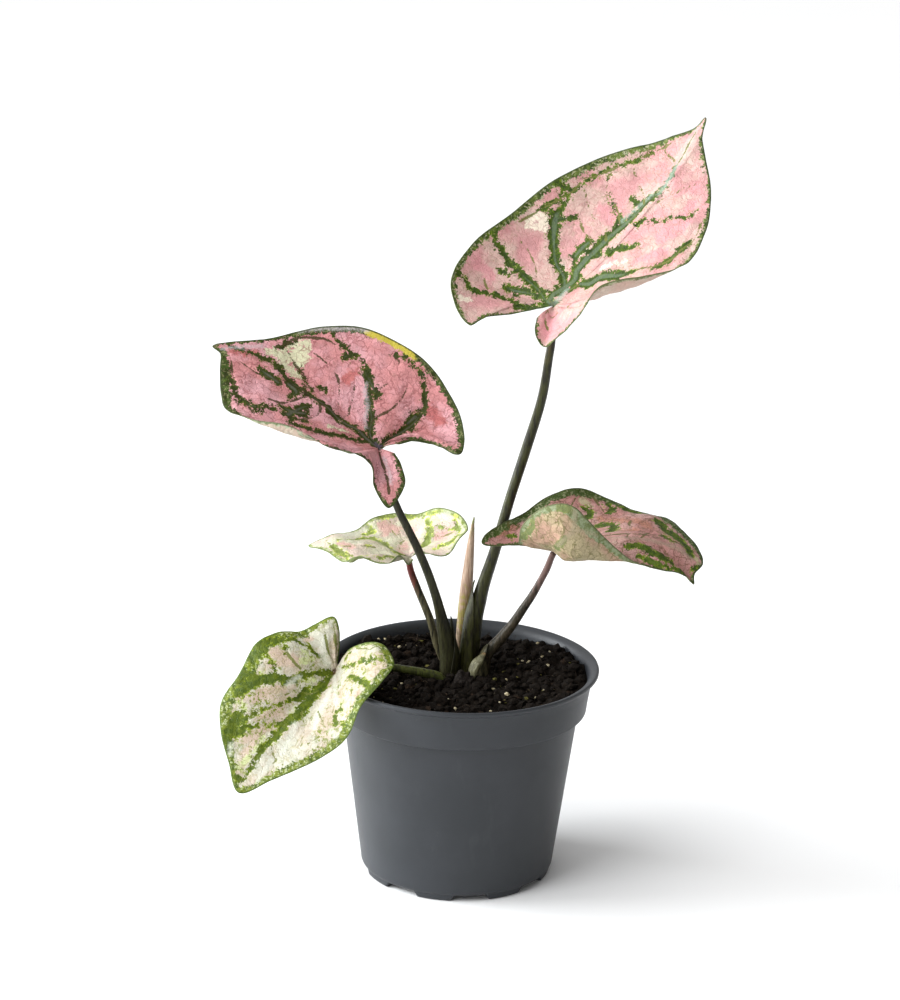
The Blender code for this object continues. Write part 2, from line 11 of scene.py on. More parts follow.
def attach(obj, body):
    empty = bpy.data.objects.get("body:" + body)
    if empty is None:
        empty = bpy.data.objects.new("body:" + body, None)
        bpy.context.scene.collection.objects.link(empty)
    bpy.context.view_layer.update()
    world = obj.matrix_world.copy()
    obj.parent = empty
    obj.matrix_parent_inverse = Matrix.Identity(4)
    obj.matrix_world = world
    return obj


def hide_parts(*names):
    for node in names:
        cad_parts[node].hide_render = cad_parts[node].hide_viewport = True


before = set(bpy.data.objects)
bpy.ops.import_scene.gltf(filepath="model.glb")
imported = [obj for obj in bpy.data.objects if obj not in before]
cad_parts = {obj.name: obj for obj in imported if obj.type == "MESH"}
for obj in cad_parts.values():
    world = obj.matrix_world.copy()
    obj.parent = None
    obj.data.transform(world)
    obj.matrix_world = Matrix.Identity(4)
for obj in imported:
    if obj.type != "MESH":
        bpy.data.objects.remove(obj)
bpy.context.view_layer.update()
mm = 0.001
fullTurn = 2 * math.pi


def smoothRows(points, perSpan):
    # points read from a smooth curve that passes through the given ones
    rows = np.array(points, dtype=float)
    padded = np.vstack([2 * rows[0] - rows[1], rows, 2 * rows[-1] - rows[-2]])
    out = []
    for index in range(len(rows) - 1):
        before, start, end, after = padded[index:index + 4]
        for step in range(perSpan):
            t = step / perSpan
            out.append(0.5 * (2 * start + (end - before) * t
                              + (2 * before - 5 * start + 4 * end - after) * t ** 2
                              + (3 * start - before - 3 * end + after) * t ** 3))
    out.append(rows[-1])
    return np.array(out)


def unit(rows):
    length = np.linalg.norm(rows, axis=-1, keepdims=True)
    return rows / np.maximum(length, 1e-9)


def addToScene(name, data):
    made = bpy.data.objects.new(name, data)
    bpy.context.scene.collection.objects.link(made)
    return made


def piece(name, points, faces, finishes, replaced=(), which=None, values=None, flat=False):
    # a mesh from points in millimetres that rides on the pot's body
    mesh = bpy.data.meshes.new(name)
    mesh.from_pydata((np.asarray(points, float) * mm).tolist(), [], faces)
    for finish in finishes:
        mesh.materials.append(finish)
    if which is not None:
        mesh.polygons.foreach_set("material_index", which)
    for label, numbers in (values or {}).items():
        layer = mesh.attributes.new(label, "FLOAT", "POINT")
        layer.data.foreach_set("value", np.asarray(numbers, np.float32))
    if not flat:
        mesh.shade_smooth()
    mesh.update()
    made = addToScene(name, mesh)
    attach(made, "root")
    if replaced:
        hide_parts(*replaced)
    return made


def opaque(value):
    # a colour gets full alpha; a socket or a number stays as it is
    return (*value, 1.0) if isinstance(value, tuple) else value


def put(tree, kind, values=(), **settings):
    made = tree.nodes.new(kind)
    for key, value in settings.items():
        setattr(made, key, value)
    for key, value in dict(values).items():
        if isinstance(value, bpy.types.NodeSocket):
            tree.links.new(value, made.inputs[key])
        else:
            made.inputs[key].default_value = value
    return made


def calc(tree, operation, first, second=0.0):
    return put(tree, "ShaderNodeMath", {0: first, 1: second}, operation=operation).outputs[0]


def times(tree, first, second):
    return calc(tree, "MULTIPLY", first, second)


def plus(tree, first, second):
    return calc(tree, "ADD", first, second)


def minus(tree, first, second):
    return calc(tree, "SUBTRACT", first, second)


def scaled(tree, value, factor, base):
    return plus(tree, times(tree, value, factor), base)


def swing(tree, value, reach):
    # noise from 0 to 1 turned into a rise and fall about 0
    return times(tree, minus(tree, value, 0.5), reach)


def vectors(tree, operation, first, second):
    return put(tree, "ShaderNodeVectorMath", {0: first, 1: second}, operation=operation).outputs[0]


def blendColour(tree, factor, first, second):
    made = put(tree, "ShaderNodeMix", {0: factor, 6: opaque(first), 7: opaque(second)}, data_type="RGBA")
    return made.outputs[2]


def cover(tree, under, mask, amount, colour):
    # lays a colour over another where the mask is 1
    return blendColour(tree, times(tree, mask, amount), under, colour)


def ramp(tree, value, low, high, first, last):
    made = put(tree, "ShaderNodeMapRange", {0: value, 1: low, 2: high, 3: first, 4: last},
               interpolation_type="SMOOTHSTEP")
    return made.outputs[0]


def rise(tree, value, low, high):
    # 0 below low, 1 above high
    return ramp(tree, value, low, high, 0.0, 1.0)


def fall(tree, value, low, high):
    # 1 below low, 0 above high
    return ramp(tree, value, low, high, 1.0, 0.0)


def cloud(tree, place, scale, detail=2.0, roughness=0.5):
    made = put(tree, "ShaderNodeTexNoise",
               {"Vector": place, "Scale": scale, "Detail": detail, "Roughness": roughness})
    return made.outputs[0]


def placeInMm(tree):
    where = put(tree, "ShaderNodeTexCoord").outputs["Object"]
    return vectors(tree, "MULTIPLY", where, (1000.0, 1000.0, 1000.0))


def openGroup(name, inputs):
    # inputs holds the usual value of each: three numbers for a colour, one for a value
    tree = bpy.data.node_groups.new(name, "ShaderNodeTree")
    for label, value in inputs.items():
        kind = "NodeSocketColor" if isinstance(value, tuple) else "NodeSocketFloat"
        socket = tree.interface.new_socket(label, in_out="INPUT", socket_type=kind)
        socket.default_value = opaque(value)
    return tree, tree.nodes.new("NodeGroupInput").outputs, placeInMm(tree)


def closeGroup(tree, colour, roughness, height):
    # every group puts out a colour, a roughness and a height for the bumps
    tree.interface.new_socket("Color", in_out="OUTPUT", socket_type="NodeSocketColor")
    tree.interface.new_socket("Roughness", in_out="OUTPUT", socket_type="NodeSocketFloat")
    tree.interface.new_socket("Height", in_out="OUTPUT", socket_type="NodeSocketFloat")
    out = tree.nodes.new("NodeGroupOutput")
    tree.links.new(colour, out.inputs["Color"])
    tree.links.new(roughness, out.inputs["Roughness"])
    tree.links.new(height, out.inputs["Height"])
    return tree


def newFinish(name, groupTree, values, specular, bumpHeight, bumpStrength):
    # a word among the values names an attribute of the mesh; the bump height is in metres
    made = bpy.data.materials.new(name)
    made.use_nodes = True
    tree = made.node_tree
    shader = tree.nodes["Principled BSDF"]
    shader.inputs["Specular IOR Level"].default_value = specular
    group = tree.nodes.new("ShaderNodeGroup")
    group.node_tree = groupTree
    for key, value in values.items():
        if isinstance(value, str):
            found = put(tree, "ShaderNodeAttribute", attribute_name=value)
            tree.links.new(found.outputs["Fac"], group.inputs[key])
        else:
            group.inputs[key].default_value = opaque(value)
    bump = put(tree, "ShaderNodeBump", {"Strength": bumpStrength, "Distance": bumpHeight,
                                        "Height": group.outputs["Height"]})
    tree.links.new(group.outputs["Color"], shader.inputs["Base Color"])
    tree.links.new(group.outputs["Roughness"], shader.inputs["Roughness"])
    tree.links.new(bump.outputs[0], shader.inputs["Normal"])
    return made


# leaf colouring, shared by the upper and lower faces of all the blades; a gap is the distance
# in millimetres from the edge of the nearest stroke and is below 0 inside it
grey = (0.5, 0.5, 0.5)
farAway = 9.0
gapNames = {"Vein Gap": "veinGap", "Fine Gap": "fineGap", "Rim Gap": "rimGap", "Cream Gap": "creamGap",
            "Warm Gap": "warmGap", "Painted Sheen Gap": "paintedSheenGap", "Edge Gap": "edgeGap",
            "Yellow Gap": "yellowGap", "Joint Gap": "jointGap"}
# the pale silvery colour and its strokes are painted sheen, highlights where light glances off a blade
leafInputs = {"Flesh Light": grey, "Flesh Deep": grey, "Green": grey, "Dark Green": grey,
              "Rim Green": grey, "Rim Fleck": grey, "Cream": grey, "Warm": grey, "Painted Sheen": grey,
              "Net": grey, "Line": grey, "Edge": grey, "Yellow": (0.55, 0.46, 0.06),
              "Joint": (0.05, 0.03, 0.02), "Spread": 0.35, "Vein Sheen": 0.0, "Speckle": 0.1,
              "Fringe": 1.0, "Net Strength": 0.5, "Jagged": 1.0, "Fleck Amount": 0.5, "Gloss": 0.4,
              **dict.fromkeys(gapNames, farAway)}
leafCells = {"wide": 0.28, "small": 0.72, "wobble": 5.0}


def buildLeafMarks():
    tree, g, place = openGroup("leafMarks", leafInputs)
    wobble = put(tree, "ShaderNodeTexNoise", {"Vector": place, "Scale": 0.35, "Detail": 2.0}).outputs[1]
    wobble = vectors(tree, "SUBTRACT", wobble, (0.5, 0.5, 0.5))
    bent = vectors(tree, "ADD", place, vectors(tree, "MULTIPLY", wobble, (leafCells["wobble"],) * 3))

    # uneven edges of the green bands
    coarse = swing(tree, cloud(tree, place, 0.42, 3.0), 6.0)
    fine = swing(tree, cloud(tree, place, 1.3, 4.0, 0.65), 5.0)
    jag = times(tree, plus(tree, coarse, fine), g["Jagged"])

    # flesh between the veins, each small cell a little different
    tone = rise(tree, cloud(tree, place, 0.075, 3.0), 0.38, 0.62)
    flesh = blendColour(tree, tone, g["Flesh Light"], g["Flesh Deep"])
    cells = put(tree, "ShaderNodeTexVoronoi", {"Vector": bent, "Scale": leafCells["wide"]})
    cellTone = put(tree, "ShaderNodeSeparateColor", {0: cells.outputs["Color"]}).outputs[0]
    speck = scaled(tree, cloud(tree, place, 0.9, 4.0, 0.65), 0.5, 0.75)
    shade = times(tree, scaled(tree, cellTone, 0.16, 0.90), speck)
    colour = vectors(tree, "MULTIPLY", flesh, shade)
    warmMask = fall(tree, plus(tree, g["Warm Gap"], times(tree, coarse, 1.2)), -1.2, 1.6)
    colour = cover(tree, colour, warmMask, 0.85, g["Warm"])
    creamMask = fall(tree, plus(tree, g["Cream Gap"], jag), -0.3, 0.5)
    colour = cover(tree, colour, creamMask, 0.92, g["Cream"])

    # net of small veins, broken here and there
    netWide = put(tree, "ShaderNodeTexVoronoi", {"Vector": bent, "Scale": leafCells["wide"]},
                  feature="DISTANCE_TO_EDGE")
    netFine = put(tree, "ShaderNodeTexVoronoi", {"Vector": bent, "Scale": leafCells["small"]},
                  feature="DISTANCE_TO_EDGE")
    wide = fall(tree, netWide.outputs[0], 0.018, 0.095)
    small = fall(tree, netFine.outputs[0], 0.02, 0.10)
    broken = rise(tree, cloud(tree, place, 0.22), 0.38, 0.6)
    net = calc(tree, "MAXIMUM", wide, times(tree, small, 0.45))
    net = times(tree, net, scaled(tree, broken, 0.6, 0.4))
    colour = cover(tree, colour, net, g["Net Strength"], g["Net"])

    # small green specks strewn over the flesh
    strewn = rise(tree, cloud(tree, place, 0.55, 5.0, 0.7), 0.515, 0.57)
    strewn = times(tree, strewn, rise(tree, cloud(tree, place, 0.09, 3.0), 0.42, 0.62))
    colour = cover(tree, colour, strewn, g["Speckle"], g["Rim Green"])

    # margin band with pale flecks, and the yellow patch on it
    rimMask = fall(tree, plus(tree, g["Rim Gap"], times(tree, jag, 0.9)), -0.25, 0.3)
    fleck = times(tree, rise(tree, cloud(tree, place, 0.8, 4.0, 0.7), 0.52, 0.60), g["Fleck Amount"])
    greenTone = rise(tree, cloud(tree, place, 0.5, 3.0), 0.38, 0.62)
    rimColour = blendColour(tree, greenTone, g["Rim Green"], g["Dark Green"])
    rimColour = blendColour(tree, fleck, rimColour, g["Rim Fleck"])
    colour = blendColour(tree, rimMask, colour, rimColour)
    yellowMask = fall(tree, plus(tree, g["Yellow Gap"], times(tree, jag, 0.6)), -0.2, 0.5)
    colour = cover(tree, colour, yellowMask, 0.95, g["Yellow"])

    # green along the veins, with loose flecks beside them, a bright fringe and a pale core that is painted
    # sheen along the vein middle
    veinGap = minus(tree, plus(tree, g["Vein Gap"], jag), g["Spread"])
    loose = times(tree, rise(tree, cloud(tree, place, 0.75, 4.0, 0.6), 0.60, 0.64),
                  fall(tree, g["Vein Gap"], 1.0, 3.6))
    loose = times(tree, loose, calc(tree, "MINIMUM", g["Jagged"], 1.0))
    veinMask = calc(tree, "MAXIMUM", fall(tree, veinGap, -0.15, 0.2), times(tree, loose, 0.8))
    veinColour = blendColour(tree, greenTone, g["Green"], g["Dark Green"])
    bright = vectors(tree, "MULTIPLY", g["Green"], (2.8, 2.6, 1.6))
    fringe = times(tree, rise(tree, veinGap, -1.0, 0.1), rise(tree, cloud(tree, place, 0.3, 3.0), 0.4, 0.6))
    veinColour = cover(tree, veinColour, fringe, g["Fringe"], bright)
    # painted sheen along the middle of the veins
    veinColour = cover(tree, veinColour, fall(tree, g["Vein Gap"], -1.7, -0.9), g["Vein Sheen"], g["Painted Sheen"])
    colour = blendColour(tree, veinMask, colour, veinColour)
    # painted sheen: pale streaks laid over the blade where light glances off it
    paintedSheenMask = fall(tree, plus(tree, g["Painted Sheen Gap"], times(tree, fine, 0.9)), -1.0, 1.1)
    colour = cover(tree, colour, paintedSheenMask, 0.65, g["Painted Sheen"])

    # thin dark lines, the outer edge and the spot where the stalk meets the blade
    patches = calc(tree, "MAXIMUM", swing(tree, cloud(tree, place, 0.16, 3.0), -2.6), -0.3)
    fineGap = plus(tree, plus(tree, g["Fine Gap"], times(tree, fine, 0.3)), patches)
    colour = cover(tree, colour, fall(tree, fineGap, -0.05, 0.22), 0.92, g["Line"])
    edgeGap = plus(tree, g["Edge Gap"], times(tree, fine, 0.25))
    colour = cover(tree, colour, fall(tree, edgeGap, 0.35, 0.85), 0.9, g["Edge"])
    jointGap = plus(tree, g["Joint Gap"], coarse)
    colour = cover(tree, colour, fall(tree, jointGap, 0.8, 3.0), 0.75, g["Joint"])

    height = minus(tree, cloud(tree, place, 1.2, 4.0), times(tree, wide, 0.9))
    height = minus(tree, height, times(tree, small, 0.35))
    gloss = plus(tree, g["Gloss"], times(tree, cloud(tree, place, 0.6, 3.0), 0.22))
    return closeGroup(tree, colour, gloss, height)


leafMarks = buildLeafMarks()
upperCommon = {**gapNames, "Gloss": 0.34}
underCommon = {**gapNames, "Fringe": 0.15, "Fleck Amount": 0.3, "Gloss": 0.5}


def leafFinishes(leaf):
    # one finish for the upper face and a paler one for the underside
    upper = newFinish(leaf["name"] + "Upper", leafMarks, {**upperCommon, **leaf["upper"]},
                      0.2, 0.0005, 0.45)
    under = newFinish(leaf["name"] + "Under", leafMarks, {**underCommon, **leaf["under"]},
                      0.15, 0.0005, 0.45)
    return upper, under


# how finely a blade is read, and how its sheet waves, thins out and carries its veins
blade = {"readings": 20, "edgeStep": 0.125, "wave": 0.75, "waveLength": 9.0, "ripple": 0.35,
         "rippleLength": 3.2, "sunkRib": 0.38, "ribEdge": 0.8, "ribSlope": 0.9, "ribBelow": 0.55,
         "sunkLine": 0.16, "lineEdge": 0.2, "lineSlope": 0.6, "lineBelow": 0.15, "strokeSteps": 4,
         "half": 0.26, "thinning": 0.12, "noStroke": 40.0}


def sheetPoint(spokes, joint, number, share):
    # points of a blade from spoke numbers and shares of the way out, one per row
    spot = np.clip(number * blade["readings"], 0, len(spokes) - 1)
    low = np.floor(spot).astype(int)
    high = np.minimum(low + 1, len(spokes) - 1)
    part = (spot - low)[:, None]
    row = spokes[low] * (1 - part) + spokes[high] * part
    r = share[:, None]
    middle = (joint + row[:, :3]) / 2 + row[:, 3:]
    return joint * (1 - r) * (1 - 2 * r) + middle * 4 * r * (1 - r) + row[:, :3] * r * (2 * r - 1)


def gapTo(lines, points):
    # how far each point is from the edge of the nearest stroke, in mm; below 0 is inside
    best = np.full(len(points), blade["noStroke"])
    for line in lines:
        for start, end in zip(line, line[1:]):
            way = end[:3] - start[:3]
            reach = max(way @ way, 1e-9)
            t = np.clip((points - start[:3]) @ way / reach, 0, 1)
            away = points - start[:3] - t[:, None] * way
            gap = np.sqrt((away * away).sum(1)) - (start[3] + (end[3] - start[3]) * t)
            best = np.minimum(best, gap)
    return best


def strokeGap(strokes, spokes, joint, points):
    lines = []
    for stroke in strokes:
        curved = len(stroke) > 2
        rows = smoothRows(stroke, blade["strokeSteps"]) if curved else np.array(stroke, float)
        spots = sheetPoint(spokes, joint, rows[:, 0], np.clip(rows[:, 1], 0, 1))
        lines.append(np.hstack([spots, rows[:, 2:3]]))
    return gapTo(lines, points)


def leafValues(leaf, spokes, joint, points):
    # every distance that the finish draws by
    values = {}
    for label, kind in (("veinGap", "green"), ("fineGap", "fine"), ("creamGap", "cream"),
                        ("warmGap", "warm"), ("paintedSheenGap", "paintedSheen"), ("yellowGap", "yellow")):
        values[label] = strokeGap(leaf.get(kind, []), spokes, joint, points)
    at, wide = zip(*leaf["rim"])
    turn = np.arange(0, len(leaf["spokes"]) - 0.99, blade["edgeStep"])
    edge = sheetPoint(spokes, joint, turn, np.ones(len(turn)))
    values["rimGap"] = gapTo([np.hstack([edge, np.interp(turn, at, wide)[:, None]])], points)
    values["jointGap"] = np.linalg.norm(points - joint, axis=1)
    values["edgeGap"] = gapTo([np.hstack([edge, np.zeros((len(turn), 1))])], points)
    return values


def sheetFaces(count, rings, total):
    # the upper face, the underside and the rim between them, and how many faces the first has
    faces = []
    for i in range(count - 1):
        a, b = 1 + i * rings, 1 + (i + 1) * rings
        faces.append((0, a, b))
        faces += [(a + j, a + j + 1, b + j + 1, b + j) for j in range(rings - 1)]
    upperCount = len(faces)
    faces += [tuple(total + v for v in reversed(face)) for face in faces]
    last = 1 + (count - 1) * rings
    loop = [0] + list(range(1, rings + 1))
    loop += [1 + i * rings + rings - 1 for i in range(1, count)]
    loop += list(range(last + rings - 2, last - 1, -1)) + [0]
    faces += [(b, a, total + a, total + b) for a, b in zip(loop, loop[1:])]
    return faces, upperCount


def makeLeaf(leaf):
    joint = np.array(leaf["joint"], dtype=float)
    spokes = smoothRows(leaf["spokes"], blade["readings"])
    spans = len(leaf["spokes"]) - 1
    count = spans * leaf["perSpoke"] + 1
    rings = leaf["rings"]
    number = np.repeat(np.linspace(0, spans, count), rings)
    share = np.tile(np.linspace(0, 1, rings + 1)[1:], count)
    sheet = sheetPoint(spokes, joint, number, share).reshape(count, rings, 3)
    normal = unit(np.cross(np.gradient(sheet, axis=1), np.gradient(sheet, axis=0)))
    if normal[..., 2].mean() < 0:
        # spokes given the other way round
        sheet, normal = sheet[::-1], -normal[::-1]
    points = np.vstack([joint[None], sheet.reshape(-1, 3)])
    normals = np.vstack([unit(normal[:, 0].mean(0))[None], normal.reshape(-1, 3)])
    shares = np.concatenate([[0.0], share])
    values = leafValues(leaf, spokes, joint, points)

    # the veins lie a little below the upper face and stand out below
    ribGap = strokeGap([leaf["green"][index] for index in leaf["ribs"]], spokes, joint, points)
    sunk = np.exp(-(np.maximum(ribGap + blade["ribEdge"], 0) / blade["ribSlope"]) ** 2)
    fineGap = np.maximum(values["fineGap"] + blade["lineEdge"], 0)
    thin = np.exp(-(fineGap / blade["lineSlope"]) ** 2)
    soft = np.array([noise.noise(Vector(p) / blade["waveLength"])
                     + blade["ripple"] * noise.noise(Vector(p) / blade["rippleLength"]) for p in points])
    fade = np.clip(shares * 6, 0, 1) * leaf["relief"]
    lift = (blade["wave"] * soft - blade["sunkRib"] * sunk - blade["sunkLine"] * thin) * fade
    half = blade["half"] - blade["thinning"] * shares ** 3
    below = half + (blade["ribBelow"] * sunk + blade["lineBelow"] * thin) * fade
    top = points + normals * (lift + half)[:, None]
    low = points + normals * (lift - below)[:, None]

    faces, upperCount = sheetFaces(count, rings, len(points))
    which = np.ones(len(faces), np.int32)
    which[:upperCount] = 0
    doubled = {label: np.concatenate([v, v]) for label, v in values.items()}
    piece(leaf["name"], np.vstack([top, low]), faces, leafFinishes(leaf),
          (leaf["slot"],), which, doubled)
    print("leaf", leaf["name"], len(faces), "faces")


# The five blades. A spoke holds a point of the margin and how far the spoke's middle is bent; the
# rim holds a spoke number and the band's width there. A stroke is points of spoke number, share
# of the way out and half width, and ribs are the green strokes that are sunk into the sheet.
upperLeft = {
    "name": "upperLeftLeaf", "slot": "blade_upper_left", "perSpoke": 12, "rings": 84, "relief": 1.0,
    "ribs": [0, 1, 4, 5], "joint": (-37.5, 2, 191),
    "spokes": [(-29, 4, 192, 0, 0, 0.5), (-22, 8, 192.5, 0, 1, 1), (-13, 8, 190.5, 0, 3, 2),
        (-3.5, 2, 188.5, 0, 6, 6), (-1, 9, 192.5, 0.5, 8, 3), (-3, 16, 201.5, 0, 6, 0.5),
        (-9, 21, 212, 0, 5, -1.5), (-17.5, 24, 222.5, 0, 4, -1.5), (-28.5, 26, 230, 0, 3, -1),
        (-45.5, 27, 237, 0, 3, -1), (-62, 26, 237.5, 0, 3, -1), (-73.5, 24, 235.5, 0, 2, -0.5),
        (-86.5, 20, 233, 0, 2, -0.5), (-108.5, 12, 232, -1.5, 0, 4), (-106, 9, 228.5, -1, -2, 2),
        (-105.5, 0, 223, -1, -5, 1), (-104.5, -8, 216, -0.5, -7, 1), (-101.5, -14, 210.5, 0, -9.5, 0.5),
        (-89.5, -20, 208.5, 0, -11, 0), (-75, -24, 207.5, 0.5, -11, 0), (-59.5, -25, 199.5, 0, -8, 0),
        (-47.5, -22, 195.5, 0, -5, 0.5), (-40, -18, 189, 0, -2, 0.5), (-38.5, -17, 179, 0, -3, 1),
        (-32.5, -17, 170, 1, -4, 1), (-26, -13, 178.5, 1, -2, 2), (-27.5, -8, 186, 0.5, -1, 1),
        (-30.5, -3, 190, 0, 0, 0)],
    "rim": [(0, 1.5), (3, 2.5), (5, 2.8), (7, 2.4), (9, 3), (11, 2.5), (12, 1.2), (13, 1), (14, 3),
        (15, 5), (16, 4.5), (17, 3), (18, 1.2), (20, 0.8), (22, 1.5), (24, 2), (26, 1.8), (27, 1)],
    "green": [
        [(15.6, 0.01, 1.9), (12.8, 0.11, 1.9), (13.2, 0.2, 1.8), (12.8, 0.33, 1.7), (12.8, 0.44, 1.5),
         (12.7, 0.58, 1.5), (12.5, 0.72, 1.3), (12.5, 0.8, 1.1), (12.6, 0.85, 0.9), (12.8, 0.95, 0.5)],
        [(12.2, 0.05, 1.5), (9.7, 0.19, 1.5), (9.3, 0.34, 1.4), (9.1, 0.49, 1.3), (9, 0.58, 1.1),
         (9.2, 0.72, 0.5), (9.5, 0.78, 0.5), (9.8, 0.87, 0.5), (9.9, 0.94, 0.5)],
        [(9.8, 0.75, 1.5), (9.6, 0.74, 0.9)], [(8.8, 0.43, 1.3), (8.6, 0.46, 0.9)],
        [(6.8, 0.02, 1.3), (5.7, 0.23, 1.5), (5.6, 0.42, 1.5), (5.9, 0.58, 1.3), (6.2, 0.7, 1),
         (6.6, 0.78, 0.6), (7, 0.86, 0.6), (7.4, 0.89, 0.5), (7.8, 0.9, 0.4), (8.2, 0.87, 0.4)],
        [(15.4, 0.09, 1), (15.9, 0.22, 1), (16.2, 0.34, 1.1), (16.3, 0.45, 1.2), (16.3, 0.56, 1.1)],
        [(15.6, 0.56, 2.1), (14.8, 0.49, 1.7), (14.2, 0.43, 1.3)],
        [(15.7, 0.73, 1.3), (15.6, 0.66, 1.3)], [(12, 0.54, 1.1), (11.8, 0.51, 0.9)],
        [(15.2, 0.59, 1.3), (15.2, 0.53, 1.9), (14.9, 0.45, 1.7)],
        [(15.9, 0.55, 1.1), (15.6, 0.45, 1.1)], [(15.8, 0.85, 0.9), (16, 0.8, 1.5), (16, 0.73, 1.1)],
        [(13, 0.53, 2.1), (13.4, 0.48, 1.7), (14.4, 0.56, 1.1)],
        [(13.2, 0.69, 1.3), (13.4, 0.64, 1.7), (13.6, 0.6, 1.7)],
        [(15, 0.93, 0.9), (15.6, 0.9, 1.2), (16, 0.87, 1.1)],
        [(9.2, 0.63, 1.3), (9, 0.53, 1.5), (8.8, 0.46, 1.3)], [(6, 0.41, 1.7), (6, 0.53, 1.9)],
        [(12, 0.71, 0.6), (12.2, 0.61, 0.6), (12.4, 0.5, 0.6)],
        [(12, 0.91, 0.6), (11.7, 0.94, 0.7), (11.3, 0.93, 0.6)],
    ],
    "fine": [
        [(13.2, 0.41, 0.3), (14.8, 0.57, 0.3), (15.1, 0.68, 0.3)],
        [(13.3, 0.58, 0.3), (13.8, 0.72, 0.3), (13.7, 0.81, 0.3), (13.4, 0.85, 0.3)],
        [(14.1, 0.93, 0.3), (15, 0.91, 0.3), (15.8, 0.86, 0.3), (16.4, 0.79, 0.3)],
        [(12.3, 0.33, 0.3), (11.1, 0.48, 0.3), (10.6, 0.6, 0.3), (10.8, 0.73, 0.3), (11, 0.81, 0.3)],
        [(12.8, 0.44, 0.4), (12.1, 0.64, 0.4), (12, 0.74, 0.4), (11.8, 0.88, 0.4)],
        [(8.6, 0.51, 0.3), (8, 0.68, 0.3), (8, 0.83, 0.3), (8.2, 0.86, 0.3)],
        [(12, 0.92, 0.4), (11.2, 0.95, 0.4), (10.6, 0.92, 0.4), (10.2, 0.9, 0.4), (9.9, 0.84, 0.4)],
        [(13.2, 0.2, 0.3), (10.5, 0.4, 0.3), (9.8, 0.52, 0.3)],
        [(9.7, 0.19, 0.3), (8, 0.35, 0.3), (7.4, 0.52, 0.3), (7.3, 0.67, 0.3)],
        [(12.8, 0.33, 0.3), (14.6, 0.38, 0.3), (15.8, 0.51, 0.3)],
        [(23.2, 0.12, 0.5), (24, 0.33, 0.5), (24.1, 0.5, 0.4), (24.1, 0.77, 0.3)],
    ],
    "cream": [
        [(12.3, 0.89, 1.3), (12.1, 0.87, 2.1), (12.2, 0.79, 2.6), (12.3, 0.68, 2.1), (12.2, 0.64, 1.3)],
        [(11.6, 0.91, 1.3), (11, 0.9, 1.7), (11.5, 0.81, 2.6), (11.9, 0.76, 2.1)],
        [(12, 0.86, 2.1), (11.8, 0.82, 2.6), (11.4, 0.85, 2.1)],
        [(8.8, 0.98, 1.1), (8.4, 0.99, 1.3), (8.1, 0.99, 1.3), (7.8, 0.98, 1.1)],
        [(14.8, 0.2, 0.9), (15.2, 0.3, 0.9)], [(11.7, 0.99, 0.9), (11, 0.98, 0.9)],
    ],
    "yellow": [
        [(8.9, 0.97, 1.3), (8.6, 0.98, 1.9), (8.3, 0.98, 2.1), (7.9, 0.98, 1.7), (7.6, 0.95, 1.1)],
    ],
    "warm": [
        [(13, 0.91, 1.3), (12.8, 0.88, 1.7), (12.5, 0.86, 1.3)], [(5, 0.75, 2.1), (5.8, 0.71, 2.6)],
        [(9.6, 0.62, 1.7), (10.2, 0.56, 2.1)],
    ],
    # strokes of painted sheen, pale highlights on the blade
    "paintedSheen": [
        [(10.9, 0.17, 0.5), (9.6, 0.31, 0.6), (9.4, 0.46, 0.6), (9.2, 0.53, 0.3)],
        [(24.4, 0.2, 0.4), (24.4, 0.44, 0.4), (24.3, 0.65, 0.3)],
        [(11, 1, 0.4), (9.9, 0.98, 0.6), (8.9, 0.98, 0.5)],
        [(13.1, 0.94, 0.4), (12.6, 0.93, 0.4), (12.2, 0.94, 0.4)],
    ],
    "upper": {"Line": (0.055, 0.042, 0.012), "Edge": (0.035, 0.05, 0.012), "Vein Sheen": 0.1, "Speckle": 0.15,
        "Joint": (0.1, 0.07, 0.11), "Flesh Light": (0.74, 0.39, 0.42), "Flesh Deep": (0.62, 0.265, 0.265),
        "Green": (0.035, 0.048, 0.004), "Dark Green": (0.026, 0.034, 0.003),
        "Rim Green": (0.05, 0.085, 0.01), "Rim Fleck": (0.4, 0.36, 0.18), "Cream": (0.68, 0.7, 0.46),
        "Warm": (0.5, 0.13, 0.12), "Painted Sheen": (0.62, 0.56, 0.58), "Net": (0.27, 0.075, 0.075),
        "Net Strength": 0.65, "Jagged": 1.05, "Fleck Amount": 0.4},
    "under": {"Line": (0.2, 0.19, 0.12), "Edge": (0.12, 0.14, 0.07), "Flesh Light": (0.4, 0.36, 0.28),
        "Flesh Deep": (0.42, 0.28, 0.22), "Green": (0.12, 0.14, 0.05), "Dark Green": (0.1, 0.12, 0.04),
        "Rim Green": (0.33, 0.35, 0.24), "Rim Fleck": (0.42, 0.42, 0.34), "Cream": (0.5, 0.48, 0.34),
        "Warm": (0.42, 0.28, 0.22), "Painted Sheen": (0.45, 0.42, 0.34), "Net": (0.44, 0.33, 0.26),
        "Net Strength": 0.5, "Jagged": 0.6},
}
makeLeaf(upperLeft)

